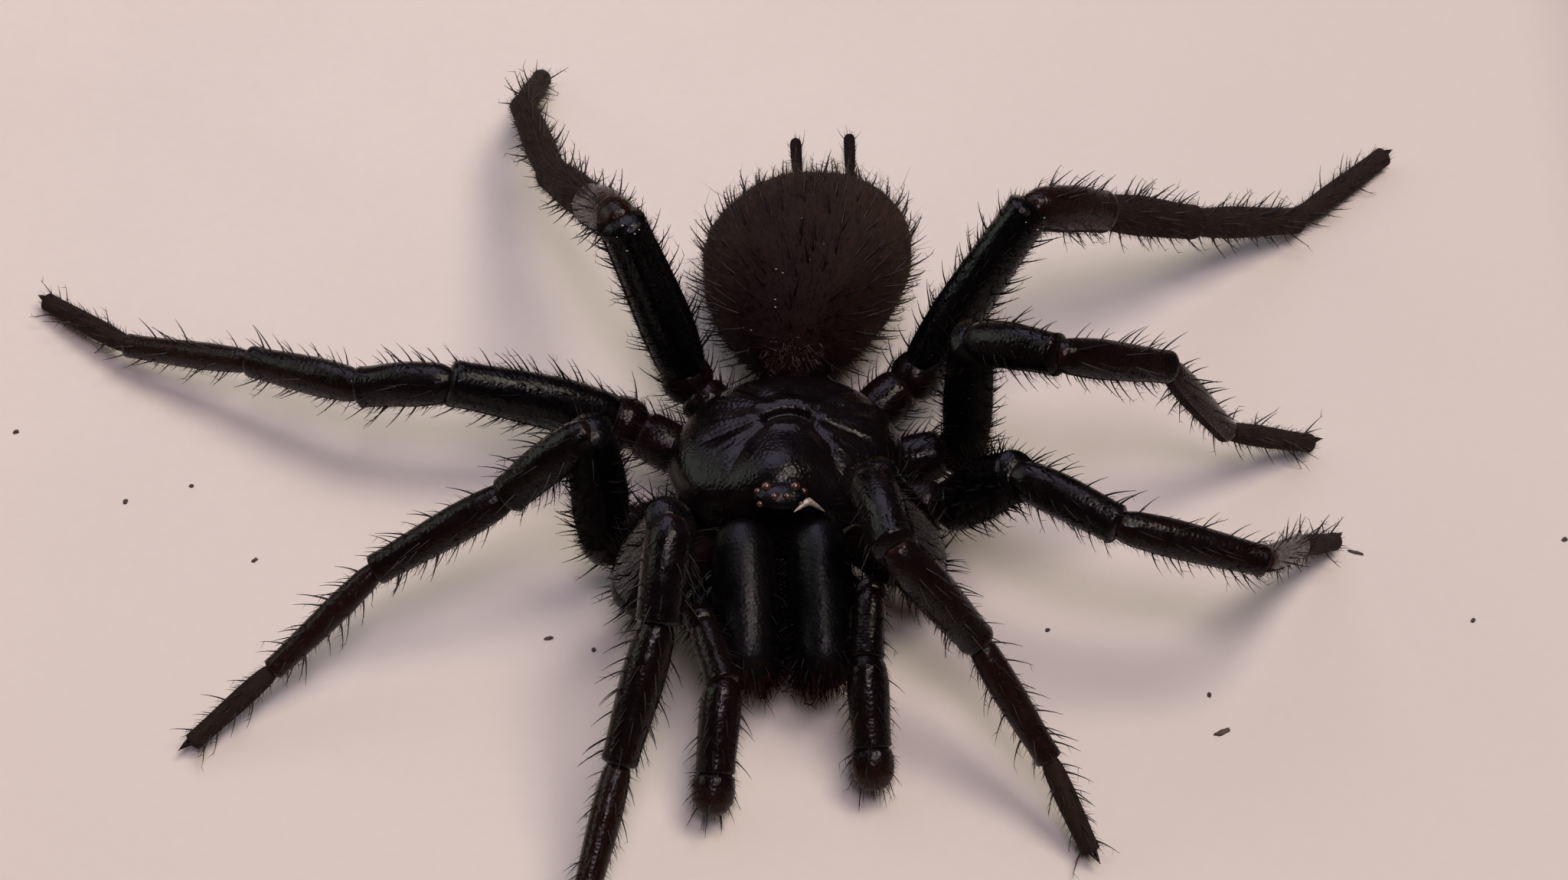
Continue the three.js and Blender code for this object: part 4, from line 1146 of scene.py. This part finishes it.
def rail(name, quarter):
    """A mitred rail, turned by quarters from the lower side of the frame."""
    section = rail_section()
    count = len(section)
    points, grain_at = [], []
    for end in (-1, 1):
        for inwards, height in section:
            reach = FRAME_SIZE / 2 - inwards - GAP * math.sqrt(0.5)
            points.append((end * reach, inwards - FRAME_SIZE / 2, height))
            grain_at.append((end * reach + GRAIN_SHIFT * quarter, inwards, height))
    faces = [((j + 1) % count, count + (j + 1) % count, count + j, j) for j in range(count)]
    faces += [tuple(range(count)), tuple(range(2 * count - 1, count - 1, -1))]
    turn = Matrix.Rotation(quarter * math.pi / 2, 3, "Z")
    mesh = bpy.data.meshes.new(name)
    mesh.from_pydata([(turn @ Vector(p)) * MM for p in points], [], faces)
    layer = mesh.attributes.new("grain", "FLOAT_VECTOR", "POINT")
    layer.data.foreach_set("vector", np.array(grain_at, "f").ravel())
    mesh.materials.append(wood)
    mesh.polygons.foreach_set("use_smooth", [True] * len(mesh.polygons))
    mesh.set_sharp_from_angle(angle=math.radians(30))
    mesh.validate()
    return new_object(name, mesh)


for quarter, side_name in enumerate(("bottom", "right", "top", "left")):
    dress(rail(f"rail_{side_name}_oak", quarter), f"frame_rail_{side_name}", "rail_wood")

# %% [markdown]
# A few specks of dust and grit lie on the card, each an uneven pebble a few tenths of a
# millimetre long. They stay where the specimen shows them.

# %% Dust on the card
dust = mottled("dark_grit", 4000.0, ("#2e2422", "#5a4a45"), (0.35, 0.65), 0.9, IOR=1.5)
GRIT_HALF_HEIGHT, GRIT_MIDDLE, LUMPINESS = 0.07, 0.05, 0.5
# x, y, half length, half width, turn in degrees
SPECKS = (
    (-38.6, 0.5, 0.16, 0.1, 20), (-32.7, -4.0, 0.14, 0.12, 80), (-29.5, -3.0, 0.12, 0.1, 10),
    (-26.0, -7.7, 0.16, 0.1, 50), (-11.4, -12.5, 0.22, 0.09, 12), (-9.2, -13.2, 0.13, 0.1, 70),
    (12.8, -12.0, 0.12, 0.1, 30), (20.4, -15.9, 0.14, 0.1, 100), (20.9, -18.1, 0.4, 0.15, 25),
    (28.1, -7.2, 0.4, 0.08, 160), (33.5, -11.4, 0.14, 0.1, 60), (38.5, -6.4, 0.16, 0.12, 40))
shell = Shell()
grain_points, grain_faces = ball(3)
for number, (x, y, half_long, half_wide, degrees) in enumerate(SPECKS):
    drift = Vector((number * 7.1, 0, 0))
    lumps = np.array([noise.noise(Vector(p) * 1.6 + drift) for p in grain_points])
    half = np.array([half_long, half_wide, GRIT_HALF_HEIGHT])
    lump = grain_points * (1 + LUMPINESS * lumps)[:, None] * half
    a = math.radians(degrees)
    spun = np.stack([lump[:, 0] * math.cos(a) - lump[:, 1] * math.sin(a),
                     lump[:, 0] * math.sin(a) + lump[:, 1] * math.cos(a), lump[:, 2]], 1)
    shell.add(spun + np.array([x, y, GRIT_MIDDLE]), grain_faces, (0, 0, 1))
specks = shell.make("card_dust", [dust])
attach(specks, "root")
print("Specks:", len(SPECKS))

# %% [markdown]
# The frame lies on a plain pale floor, which is only there for views from the side.

# %% The floor
FLOOR_HALF, FLOOR_Z = 2, -0.0002  # metres
floor_mesh = bpy.data.meshes.new("floor")
corners = [(x * FLOOR_HALF, y * FLOOR_HALF, FLOOR_Z) for x, y in ((-1, -1), (1, -1), (1, 1), (-1, 1))]
floor_mesh.from_pydata(corners, [], [(0, 1, 2, 3)])
floor_mesh.materials.append(mottled(
    "pale_studio_floor", 6.0, ("#d6d1cd", "#dedad6"), (0.3, 0.7), 0.85, detail=3.0, IOR=1.45))
floor = new_object("floor", floor_mesh)
print("Floor:", floor.name)
